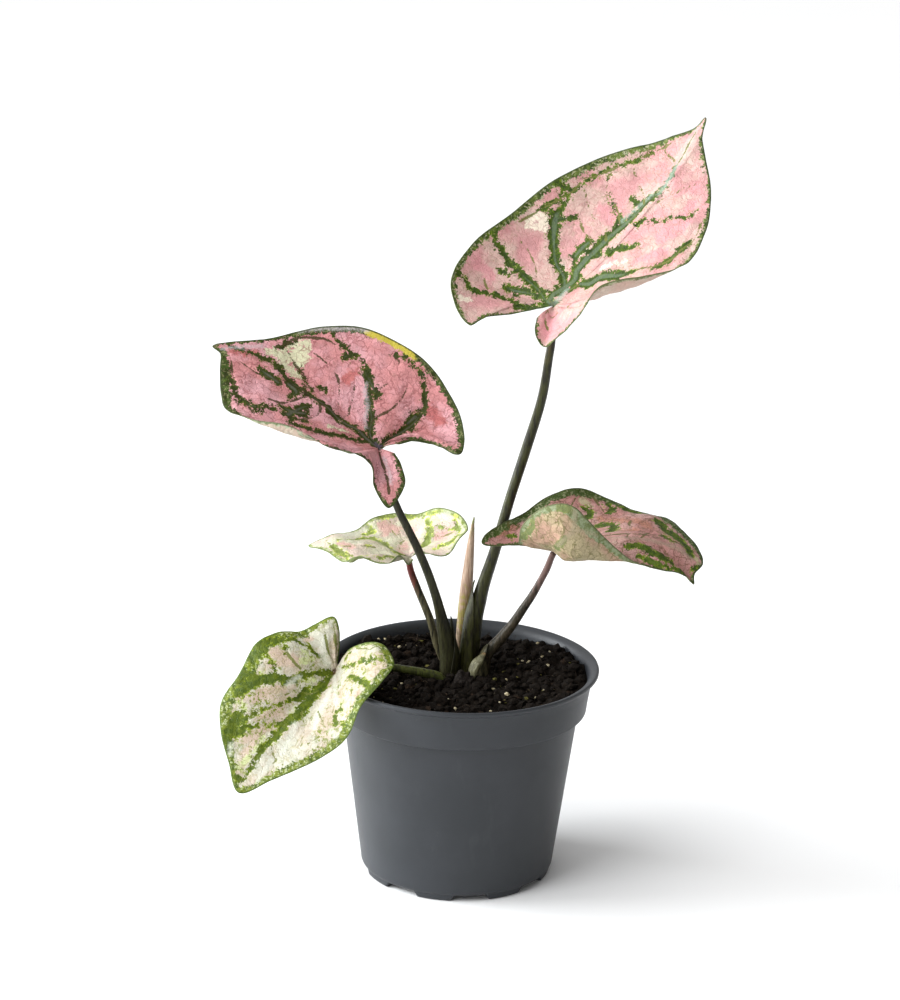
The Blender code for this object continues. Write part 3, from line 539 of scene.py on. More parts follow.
upperRight = {
    "name": "upperRightLeaf", "slot": "blade_upper_right", "perSpoke": 13, "rings": 84, "relief": 1.0,
    "ribs": [0, 1, 3, 4, 7, 8, 9], "joint": (35.5, 8, 254),
    "spokes": [(29, 9, 252, 0, 0, 0), (17.5, 9, 249.5, 0, 1, 1), (6, 4, 249, 0, 4, 1.5),
        (0, -1, 247, 0, 6, 3), (-6.5, 6, 253.5, 0, 7, 1), (-8, 15, 264.5, 0, 7, -1.5),
        (1.5, 24, 277.5, 0, 5, -1.5), (16.5, 33, 287.5, 0, 4, -1), (34.5, 42, 300.5, 0, 3, -1),
        (58, 48, 311, 0, 2, -1), (81, 48, 318, 0, 0, -1), (93, 46, 323.5, 1, -1.5, -2),
        (98.5, 44, 329, 1.5, -2.5, -3), (97, 38, 323, 1.5, -3, -3), (97.5, 34, 318, 1, -3, -3),
        (100.5, 19, 303, 1, -5, -1), (98.5, 5, 290, 1, -7, -0.5), (90.5, -9, 278.5, 0.5, -8, 0),
        (76, -17, 275, 1, -8, 0), (61, -22, 273.5, 1.5, -8, -0.5), (52.5, -24, 270, 2, -7, -2),
        (47, -25, 261.5, 0.5, -4, 0), (40, -22, 251, 0, -2, 0.5), (32, -20, 243.5, 0, -3, 0.5),
        (27.5, -15, 247.5, -0.5, -2, 0.5), (28, -5, 252, 0, -1, 0.5)],
    "rim": [(0, 1), (3, 1.2), (5, 2.5), (7, 3.2), (9, 3.2), (11, 1.5), (12, 1), (14, 1.5), (16, 1.8),
        (18, 1.2), (20, 1), (22, 1.2), (25, 1)],
    "green": [
        [(0, 0, 2.1), (9.6, 0.12, 2.2), (9.8, 0.22, 2.4), (10.2, 0.32, 2.4), (10.5, 0.4, 2.2),
         (10.8, 0.47, 2.1), (11.4, 0.52, 2), (11.8, 0.58, 1.7), (12.6, 0.67, 1.3), (12.8, 0.75, 0.7),
         (12.3, 0.79, 0.5)],
        [(9.4, 0.13, 1.7), (8.5, 0.25, 1.7), (8.1, 0.34, 1.7), (8, 0.48, 1.7), (8, 0.57, 2.1),
         (8.1, 0.69, 1.7), (8.2, 0.74, 1.1), (8.4, 0.83, 0.4)],
        [(7.6, 0.86, 0.9), (7.9, 0.77, 1.3), (8.1, 0.69, 1.3), (8.4, 0.64, 1.3), (8.6, 0.62, 0.9)],
        [(5.4, 0.03, 1.3), (6.2, 0.19, 1.5), (6.2, 0.35, 1.5), (6.2, 0.48, 1.3), (6.2, 0.61, 1.1),
         (6.3, 0.75, 0.9), (6.4, 0.81, 0.5)],
        [(0.1, 0.17, 1), (0.8, 0.62, 1.2), (3.4, 0.43, 1.2), (4.2, 0.52, 1.1), (4.4, 0.62, 1),
         (4.5, 0.76, 0.9), (4.8, 0.84, 0.9), (5, 0.9, 0.7), (5.1, 0.98, 0.6)],
        [(5.2, 0.48, 1.3), (5.2, 0.37, 1.7), (5.6, 0.21, 1.3)], [(5.7, 0.62, 1), (5.8, 0.53, 1.1)],
        [(11, 0.1, 1.3), (14.6, 0.19, 2.1), (15, 0.28, 2.6), (15.6, 0.38, 2.1), (16, 0.5, 1)],
        [(10.4, 0.31, 1.3), (12, 0.32, 1.3), (14.1, 0.42, 1.3), (14.8, 0.53, 0.7)],
        [(13.4, 0.53, 0.7), (14.4, 0.64, 0.6), (14.8, 0.74, 0.6), (15.2, 0.86, 0.5), (15.2, 0.9, 0.4)],
        [(10.8, 0.4, 0.9), (10.2, 0.55, 0.9), (10.9, 0.48, 0.9)], [(11.2, 0.59, 1.1), (10.3, 0.64, 0.9)],
        [(9.2, 0.32, 1.7), (9.4, 0.37, 2.1), (9.6, 0.4, 1.7)],
        [(16.4, 0.67, 0.9), (16.4, 0.76, 1.5), (16.2, 0.83, 1.3), (16.1, 0.89, 0.9)],
        [(11.2, 0.59, 1.7), (12, 0.61, 2)], [(8, 0.58, 2.1), (8, 0.67, 2.1), (8.1, 0.72, 1.9)],
        [(8, 1, 0.9), (8.2, 0.9, 1.5), (8.4, 0.84, 1.3)],
        [(7.8, 0.83, 0.5), (8.4, 0.83, 0.6), (8.8, 0.88, 0.6), (9.5, 0.9, 0.6), (9.9, 0.93, 0.5)],
        [(10, 0.56, 0.5), (9.4, 0.7, 0.5)], [(9.1, 0.88, 0.9), (9.2, 0.83, 0.6)],
        [(6.4, 0.95, 0.9), (6.3, 0.82, 1.1)],
    ],
    "fine": [
        [(16, 0.52, 0.4), (16.3, 0.66, 0.4), (16.4, 0.79, 0.4), (16.2, 0.84, 0.4), (16.1, 0.92, 0.3),
         (15.7, 0.94, 0.3)],
        [(13.8, 0.68, 0.4), (14.2, 0.77, 0.4), (14.4, 0.85, 0.4), (14.6, 0.93, 0.3)],
        [(10.7, 0.48, 0.4), (10, 0.58, 0.4), (9.4, 0.7, 0.3), (9.2, 0.8, 0.3), (9.2, 0.88, 0.3)],
        [(11.5, 0.59, 0.4), (10.3, 0.71, 0.3), (9.8, 0.81, 0.3), (9.6, 0.89, 0.3)],
        [(12.1, 0.76, 0.3), (10.5, 0.89, 0.3), (10.2, 0.96, 0.3)],
        [(7.1, 0.88, 0.3), (7.8, 0.83, 0.3), (8.4, 0.83, 0.3), (8.6, 0.89, 0.3), (8.8, 0.88, 0.3),
         (9.1, 0.88, 0.3), (9.5, 0.9, 0.3), (9.9, 0.93, 0.3), (10.4, 0.95, 0.3)],
        [(4.4, 0.62, 0.3), (5.2, 0.7, 0.3), (5.6, 0.81, 0.3), (6, 0.88, 0.3)],
        [(6.2, 0.19, 0.3), (6.9, 0.38, 0.3), (7, 0.57, 0.3), (6.9, 0.73, 0.3)],
        [(10.5, 0.4, 0.3), (9.4, 0.54, 0.3), (8.9, 0.68, 0.3), (8.7, 0.8, 0.3)],
        [(10.2, 0.32, 0.3), (9.1, 0.49, 0.3), (8.7, 0.63, 0.3)],
        [(12.3, 0.79, 0.3), (12.2, 0.86, 0.3), (11.4, 0.97, 0.3)],
        [(0, 0, 0.4), (23, 0.29, 0.4), (23.2, 0.59, 0.3)],
    ],
    "cream": [
        [(7.3, 0.82, 2.1), (7.6, 0.79, 2.6), (7.7, 0.69, 2.6), (7.4, 0.75, 1.7)],
        [(9.4, 0.31, 1.1), (9.8, 0.37, 1.1)], [(4.1, 0.84, 1.3), (4.2, 0.93, 1.3)],
        [(8.4, 0.3, 0.9), (9.4, 0.18, 0.9)], [(14.2, 0.29, 0.9), (15.1, 0.44, 0.9)],
    ],
    "warm": [
        [(14.6, 0.9, 1.3), (14.6, 0.93, 1)], [(15.2, 0.69, 4.3), (15.2, 0.79, 4.3), (14.9, 0.87, 2.1)],
        [(15.5, 0.51, 1.7), (15.8, 0.68, 2.6)], [(9.4, 0.61, 2.6), (10, 0.52, 2.6)],
        [(5.6, 0.84, 2.1), (5.4, 0.65, 2.1)], [(22.8, 0.28, 2.6), (23, 0.53, 3), (23.1, 0.76, 1.7)],
    ],
    "paintedSheen": [
        [(12.6, 0.67, 0.9), (12.8, 0.75, 1), (12.3, 0.79, 0.9), (12.2, 0.86, 0.8), (11.4, 0.97, 0.5)],
        [(9.6, 0.02, 1.1), (10.5, 0.06, 1.1), (10.4, 0.1, 0.9)],
        [(10.6, 0.51, 0.5), (11.2, 0.59, 0.6), (11.8, 0.63, 0.7)],
    ],
    "upper": {"Line": (0.13, 0.14, 0.03), "Edge": (0.04, 0.06, 0.015), "Vein Sheen": 0.2, "Speckle": 0.2,
        "Joint": (0.07, 0.09, 0.06), "Flesh Light": (0.555, 0.385, 0.335),
        "Flesh Deep": (0.55, 0.275, 0.275), "Green": (0.048, 0.085, 0.004),
        "Dark Green": (0.026, 0.05, 0.004), "Rim Green": (0.11, 0.15, 0.025),
        "Rim Fleck": (0.55, 0.52, 0.34), "Cream": (0.78, 0.71, 0.57), "Warm": (0.6, 0.27, 0.29),
        "Painted Sheen": (0.32, 0.4, 0.33), "Net": (0.44, 0.2, 0.19), "Net Strength": 0.5, "Jagged": 1.05,
        "Fleck Amount": 0.55},
    "under": {"Line": (0.24, 0.22, 0.12), "Edge": (0.13, 0.15, 0.06), "Flesh Light": (0.56, 0.45, 0.37),
        "Flesh Deep": (0.58, 0.4, 0.33), "Green": (0.19, 0.21, 0.08), "Dark Green": (0.14, 0.16, 0.06),
        "Rim Green": (0.36, 0.38, 0.22), "Rim Fleck": (0.48, 0.45, 0.34), "Cream": (0.62, 0.55, 0.42),
        "Warm": (0.56, 0.32, 0.28), "Painted Sheen": (0.45, 0.42, 0.34), "Net": (0.56, 0.35, 0.28),
        "Net Strength": 0.5, "Jagged": 0.6},
}
makeLeaf(upperRight)

lowRight = {
    "name": "lowRightLeaf", "slot": "blade_low_right", "perSpoke": 11, "rings": 76, "relief": 1.0,
    "ribs": [0, 1, 2, 3, 4, 5, 6], "joint": (38.5, 0, 147),
    "spokes": [(32.5, 3, 147.5, 0, 0, 0), (23, 4, 148, 0, 1, 0), (9, 0, 149, 0, 5, 0.5),
        (8.5, 3, 152, 0, 6, 1), (15, 8.5, 155.5, 0, 6, 1), (24.5, 19, 157, -0.5, 5, 1.5),
        (37.5, 28, 163.5, -1, 4, 2), (51, 33, 165, 0, 4, 2), (64.5, 32, 160, 0, 4, 3),
        (77.5, 28, 156.5, 1, 3, 4), (89.5, 22, 155, 2, 2, 5.5), (100.5, 10, 147.5, 1.5, 1, 8),
        (103, 1.5, 142.5, 1, 0, 11), (99.5, -2.5, 139, 1, -1, 12.5), (99, -5, 135, 1.5, -2, 14),
        (96, -7, 139, 1.5, -3, 12), (90.5, -10, 142, 1.5, -3.5, 8), (84.5, -12, 143.5, 1, -4, 5),
        (71.5, -17, 149.5, 1.5, -6, 0), (60.5, -22, 160, 1, -8, -4), (53.5, -25, 168, 2.5, -10, -6),
        (46, -26, 175.5, 3.5, -11, -8), (39, -25, 176.5, 3, -11, -6.5), (31, -22, 172.5, 2.5, -9, -3.5),
        (24.5, -16, 163.5, 1.5, -6, -1.5), (23, -9, 153, 0, -2, 0.5)],
    "rim": [(0, 1), (2, 1.5), (3, 3), (5, 3.5), (7, 4), (8, 3), (9, 4), (10, 4.5), (11, 3.5), (12, 1.5),
        (14, 1.5), (17, 1.2), (19, 3), (20, 5), (21, 4.5), (22, 3), (23, 2.5), (24, 2.5), (25, 1.5)],
    "green": [
        [(7.7, 0.62, 1.1), (8.2, 0.58, 1.1), (8.3, 0.48, 1.1)],
        [(8.1, 0.84, 0.9), (8.5, 0.8, 1.1), (8.6, 0.66, 0.9)], [(8.6, 0.9, 0.9), (9.1, 0.93, 0.9)],
        [(9.6, 0.36, 1.5), (9.8, 0.41, 2.1), (10, 0.46, 1.7), (11.1, 0.37, 1.5)],
        [(10.2, 0.82, 1.5), (10.6, 0.81, 1.9), (11, 0.84, 2.1), (11.4, 0.89, 1.9), (12, 0.91, 1.3)],
        [(11.3, 0.73, 0.9), (11.6, 0.78, 0.9)],
        [(15.8, 0.56, 1.1), (15.3, 0.63, 1.5), (15.3, 0.71, 1.7), (15.2, 0.8, 1.7), (14.7, 0.85, 1.3)],
        [(16.6, 0.73, 0.9), (16.6, 0.84, 0.9), (16, 0.94, 0.6), (15, 0.97, 0.9)],
        [(2.8, 0.63, 0.6), (3, 0.57, 0.6)], [(12.8, 0.98, 1.3), (13, 1, 0.9)],
        [(22.6, 0.46, 1.3), (22.2, 0.61, 1.3), (21.8, 0.7, 0.9)],
        [(24.5, 0.89, 1.3), (23.8, 0.87, 1.1), (23.5, 0.93, 0.9)],
        [(21.9, 0.97, 1.3), (21.3, 0.97, 1.3)],
    ],
    "fine": [
        [(10, 0.63, 0.3), (10.8, 0.52, 0.3), (13.6, 0.49, 0.3)],
        [(10.6, 0.72, 0.3), (11.6, 0.6, 0.3), (12.8, 0.59, 0.2)], [(7, 0.75, 0.3), (7, 0.61, 0.3)],
        [(7.5, 0.88, 0.3), (8.2, 0.72, 0.3), (8.4, 0.68, 0.3)],
        [(13.6, 0.32, 0.3), (12.8, 0.44, 0.3), (12.2, 0.56, 0.3), (11.6, 0.71, 0.3), (11.6, 0.87, 0.3)],
        [(4.5, 0.99, 0.3), (3.6, 0.74, 0.3), (2.7, 0.58, 0.3)], [(4.6, 0.77, 0.3), (3.8, 0.64, 0.3)],
        [(22.9, 0.97, 0.3), (22.8, 0.88, 0.2), (23, 0.79, 0.2), (22.8, 0.65, 0.2)],
        [(21.8, 0.96, 0.2), (22, 0.88, 0.2), (21.8, 0.8, 0.2), (22, 0.71, 0.2)],
        [(21, 0.66, 0.2), (21.2, 0.55, 0.2), (20.6, 0.47, 0.2)],
        [(19.6, 0.84, 0.2), (19.4, 0.74, 0.2), (19.2, 0.6, 0.2)],
    ],
    "cream": [
        [(7.3, 0.76, 1.7), (7.7, 0.69, 1.7)], [(7.7, 0.96, 0.6), (7.7, 0.96, 0.6)],
        [(12, 0.96, 1.1), (12.2, 0.98, 0.9)], [(24, 0.9, 1.1), (24, 0.81, 0.9)],
    ],
    "warm": [
        [(8.8, 0.53, 1.3), (9.8, 0.55, 2.1), (10.3, 0.65, 2.6), (10.7, 0.66, 2.1)],
        [(3.3, 0.81, 1.7), (4, 0.77, 2.1)], [(11, 0.54, 1.7), (11.4, 0.44, 1.7)],
    ],
    "paintedSheen": [
        [(14.9, 0.37, 0.7), (14.6, 0.45, 0.9), (13.1, 0.59, 1), (12.5, 0.72, 1), (12.2, 0.84, 1),
         (12.2, 0.93, 0.7)],
        [(15.6, 0.44, 0.9), (15.8, 0.48, 0.6)],
        [(22.5, 0.53, 0.9), (21.8, 0.7, 0.9), (21.2, 0.8, 0.9), (21, 0.92, 0.8), (21, 0.99, 0.7)],
        [(21.2, 0.8, 0.6), (20.3, 0.88, 0.6), (19.6, 0.94, 0.6)],
    ],
    "upper": {"Line": (0.11, 0.1, 0.03), "Edge": (0.05, 0.062, 0.02), "Speckle": 0.3,
        "Flesh Light": (0.5, 0.29, 0.265), "Flesh Deep": (0.46, 0.22, 0.2), "Green": (0.075, 0.115, 0.01),
        "Dark Green": (0.035, 0.062, 0.006), "Rim Green": (0.055, 0.085, 0.018),
        "Rim Fleck": (0.38, 0.38, 0.22), "Cream": (0.48, 0.42, 0.26), "Warm": (0.43, 0.19, 0.13),
        "Painted Sheen": (0.34, 0.26, 0.19), "Net": (0.17, 0.085, 0.05), "Net Strength": 0.85, "Jagged": 0.9,
        "Fleck Amount": 0.5},
    "under": {"Line": (0.22, 0.18, 0.09), "Edge": (0.12, 0.13, 0.06), "Flesh Light": (0.4, 0.33, 0.2),
        "Flesh Deep": (0.42, 0.26, 0.19), "Green": (0.17, 0.19, 0.07), "Dark Green": (0.13, 0.16, 0.06),
        "Rim Green": (0.24, 0.28, 0.16), "Rim Fleck": (0.33, 0.35, 0.23), "Cream": (0.45, 0.4, 0.26),
        "Warm": (0.46, 0.26, 0.18), "Painted Sheen": (0.36, 0.3, 0.2), "Net": (0.17, 0.15, 0.06),
        "Net Strength": 0.9, "Jagged": 0.5},
}
makeLeaf(lowRight)

backLeft = {
    "name": "backLeftLeaf", "slot": "blade_back_left", "perSpoke": 12, "rings": 64, "relief": 0.8,
    "ribs": [0, 1, 2, 3, 4, 5, 6], "joint": (-24, 26, 133.5),
    "spokes": [(-21.5, 25, 136, 0, 0, 0), (-17, 22, 137.5, 0, 0, 1), (-11.5, 20, 136.5, 0, 2, 1.5),
        (-6.5, 21, 137.5, 0, 4, 2), (-2.5, 26, 142.5, 0, 5, 1), (1.5, 32, 145.5, 0, 5, 0.5),
        (-2.5, 39, 150, 0, 5, 0), (-12, 46, 150.5, 0, 4, -0.5), (-21.5, 50, 146, 0, 4, -1),
        (-31, 52, 145.5, 0, 4, -1), (-41, 50, 143.5, 0, 3, -0.5), (-48.5, 45, 139.5, 0, 2, 0.5),
        (-59.5, 37, 139, 0, 1, 2), (-68.5, 28, 137.5, 0, 0, 4.5), (-60, 20, 137.5, 0, -2, 2),
        (-52.5, 12, 135.5, 0, -3, 2.5), (-47, 10, 139, 0, -3, 2), (-38.5, 8, 137, 0, -3, 1.5),
        (-33, 8, 137, 0, -3, 1), (-28, 12, 139, 0, -2, 0.5), (-24.5, 16, 133.5, 0, -2, 0.5),
        (-22, 20, 134.5, 0, -1, 0.5)],
    "rim": [(0, 0.6), (3, 1), (5, 1.6), (6, 2.2), (7, 2.6), (8, 2.4), (9, 2.2), (10, 1.5), (11, 1),
        (13, 1), (14, 1.5), (15, 2), (16, 1.5), (18, 0.8), (21, 0.6)],
    "green": [
        [(13.7, 0.06, 0.6), (13.1, 0.13, 1.5), (11.7, 0.31, 2.1), (11.3, 0.53, 1.9), (11.4, 0.66, 1.3),
         (12.2, 0.66, 0.6), (13, 0.7, 0.3)],
        [(5.4, 0.2, 0.9), (5.5, 0.26, 1.3), (5.9, 0.36, 1.4), (6.4, 0.48, 1.3), (6.8, 0.61, 1.1),
         (7.2, 0.74, 0.7)],
        [(2.9, 0.63, 0.5), (3.4, 0.7, 0.8), (3.6, 0.82, 0.9), (4, 0.9, 0.6), (4.8, 0.86, 0.9),
         (5.4, 0.85, 0.9), (6, 0.91, 0.6)],
        [(5.4, 0.7, 0.4), (5.2, 0.81, 0.6)], [(13.6, 0.83, 0.9), (14.1, 0.86, 1.5), (14.5, 0.84, 1.3)],
        [(14.9, 0.89, 0.9), (15.6, 0.91, 1.3), (15.9, 0.8, 1)],
        [(10.5, 0.91, 1), (10.6, 0.77, 1.1), (11.1, 0.8, 1)], [(9.6, 0.95, 0.9), (9.2, 0.92, 0.9)],
        [(8.4, 0.92, 1.1), (7.9, 0.94, 1.2)], [(7.4, 0.91, 0.9), (6.8, 0.9, 0.7)],
        [(13.4, 0.43, 0.4), (11.8, 0.37, 0.4)], [(16.6, 0.7, 0.5), (16.6, 0.4, 0.5)],
        [(6.3, 0.62, 0.5), (5.8, 0.63, 0.4)],
    ],
    "fine": [
        [(9.5, 0.44, 0.2), (9.6, 0.61, 0.2), (9.4, 0.82, 0.2)], [(9.4, 0.5, 0.2), (8.8, 0.67, 0.2)],
        [(10.3, 0.31, 0.2), (9, 0.36, 0.2), (8.3, 0.48, 0.2)],
        [(10.4, 0.21, 0.2), (9.2, 0.38, 0.2), (9.2, 0.57, 0.2)],
        [(6.4, 0.48, 0.2), (5.2, 0.52, 0.2), (5, 0.72, 0.2)],
        [(13.6, 0.71, 0.2), (13.5, 0.52, 0.2), (13.4, 0.35, 0.2)],
        [(14.6, 0.78, 0.3), (13.8, 0.8, 0.3), (12.8, 0.83, 0.3)],
    ],
    "cream": [
        [(14, 0.4, 1.3), (14, 0.26, 1.3), (15.5, 0.62, 0.9)], [(12.8, 0.5, 0.9), (12.8, 0.4, 0.6)],
        [(6.4, 0.8, 1.7), (6, 0.81, 1.3)], [(6.2, 0.33, 0.6), (7.2, 0.53, 0.6)],
    ],
    "warm": [
        [(9.4, 0.62, 2.6), (9.8, 0.76, 2.6), (10.1, 0.61, 2.1)], [(8, 0.62, 2.1), (7.6, 0.63, 1.7)],
        [(5.3, 0.46, 1.5), (5.2, 0.61, 2.1), (5, 0.74, 1.3)], [(13.4, 0.69, 1.7), (13.6, 0.62, 1.7)],
        [(9.2, 0.27, 1.7), (13.2, 0.09, 1.1)],
    ],
    "paintedSheen": [
        [(13, 0.17, 0.4), (11.6, 0.42, 0.6), (11.6, 0.58, 0.5)], [(6.6, 0.83, 1.3), (6.4, 0.9, 1.3)],
        [(11.8, 0.86, 1.3), (10.6, 0.93, 1.3)],
    ],
    "upper": {"Line": (0.22, 0.24, 0.07), "Edge": (0.12, 0.16, 0.05), "Speckle": 0.3,
        "Flesh Light": (0.62, 0.62, 0.46), "Flesh Deep": (0.62, 0.5, 0.43), "Green": (0.26, 0.32, 0.09),
        "Dark Green": (0.19, 0.24, 0.05), "Rim Green": (0.42, 0.48, 0.24), "Rim Fleck": (0.6, 0.6, 0.42),
        "Cream": (0.72, 0.71, 0.53), "Warm": (0.68, 0.4, 0.36), "Painted Sheen": (0.6, 0.6, 0.5),
        "Net": (0.62, 0.42, 0.36), "Net Strength": 0.3, "Jagged": 0.8, "Fleck Amount": 0.5},
    "under": {"Line": (0.26, 0.28, 0.14), "Edge": (0.18, 0.22, 0.09), "Flesh Light": (0.5, 0.52, 0.36),
        "Flesh Deep": (0.5, 0.44, 0.34), "Green": (0.3, 0.36, 0.16), "Dark Green": (0.26, 0.3, 0.13),
        "Rim Green": (0.42, 0.46, 0.27), "Rim Fleck": (0.5, 0.5, 0.36), "Cream": (0.55, 0.54, 0.4),
        "Warm": (0.5, 0.36, 0.28), "Painted Sheen": (0.5, 0.5, 0.38), "Net": (0.48, 0.42, 0.3),
        "Net Strength": 0.3, "Jagged": 0.5},
}
makeLeaf(backLeft)

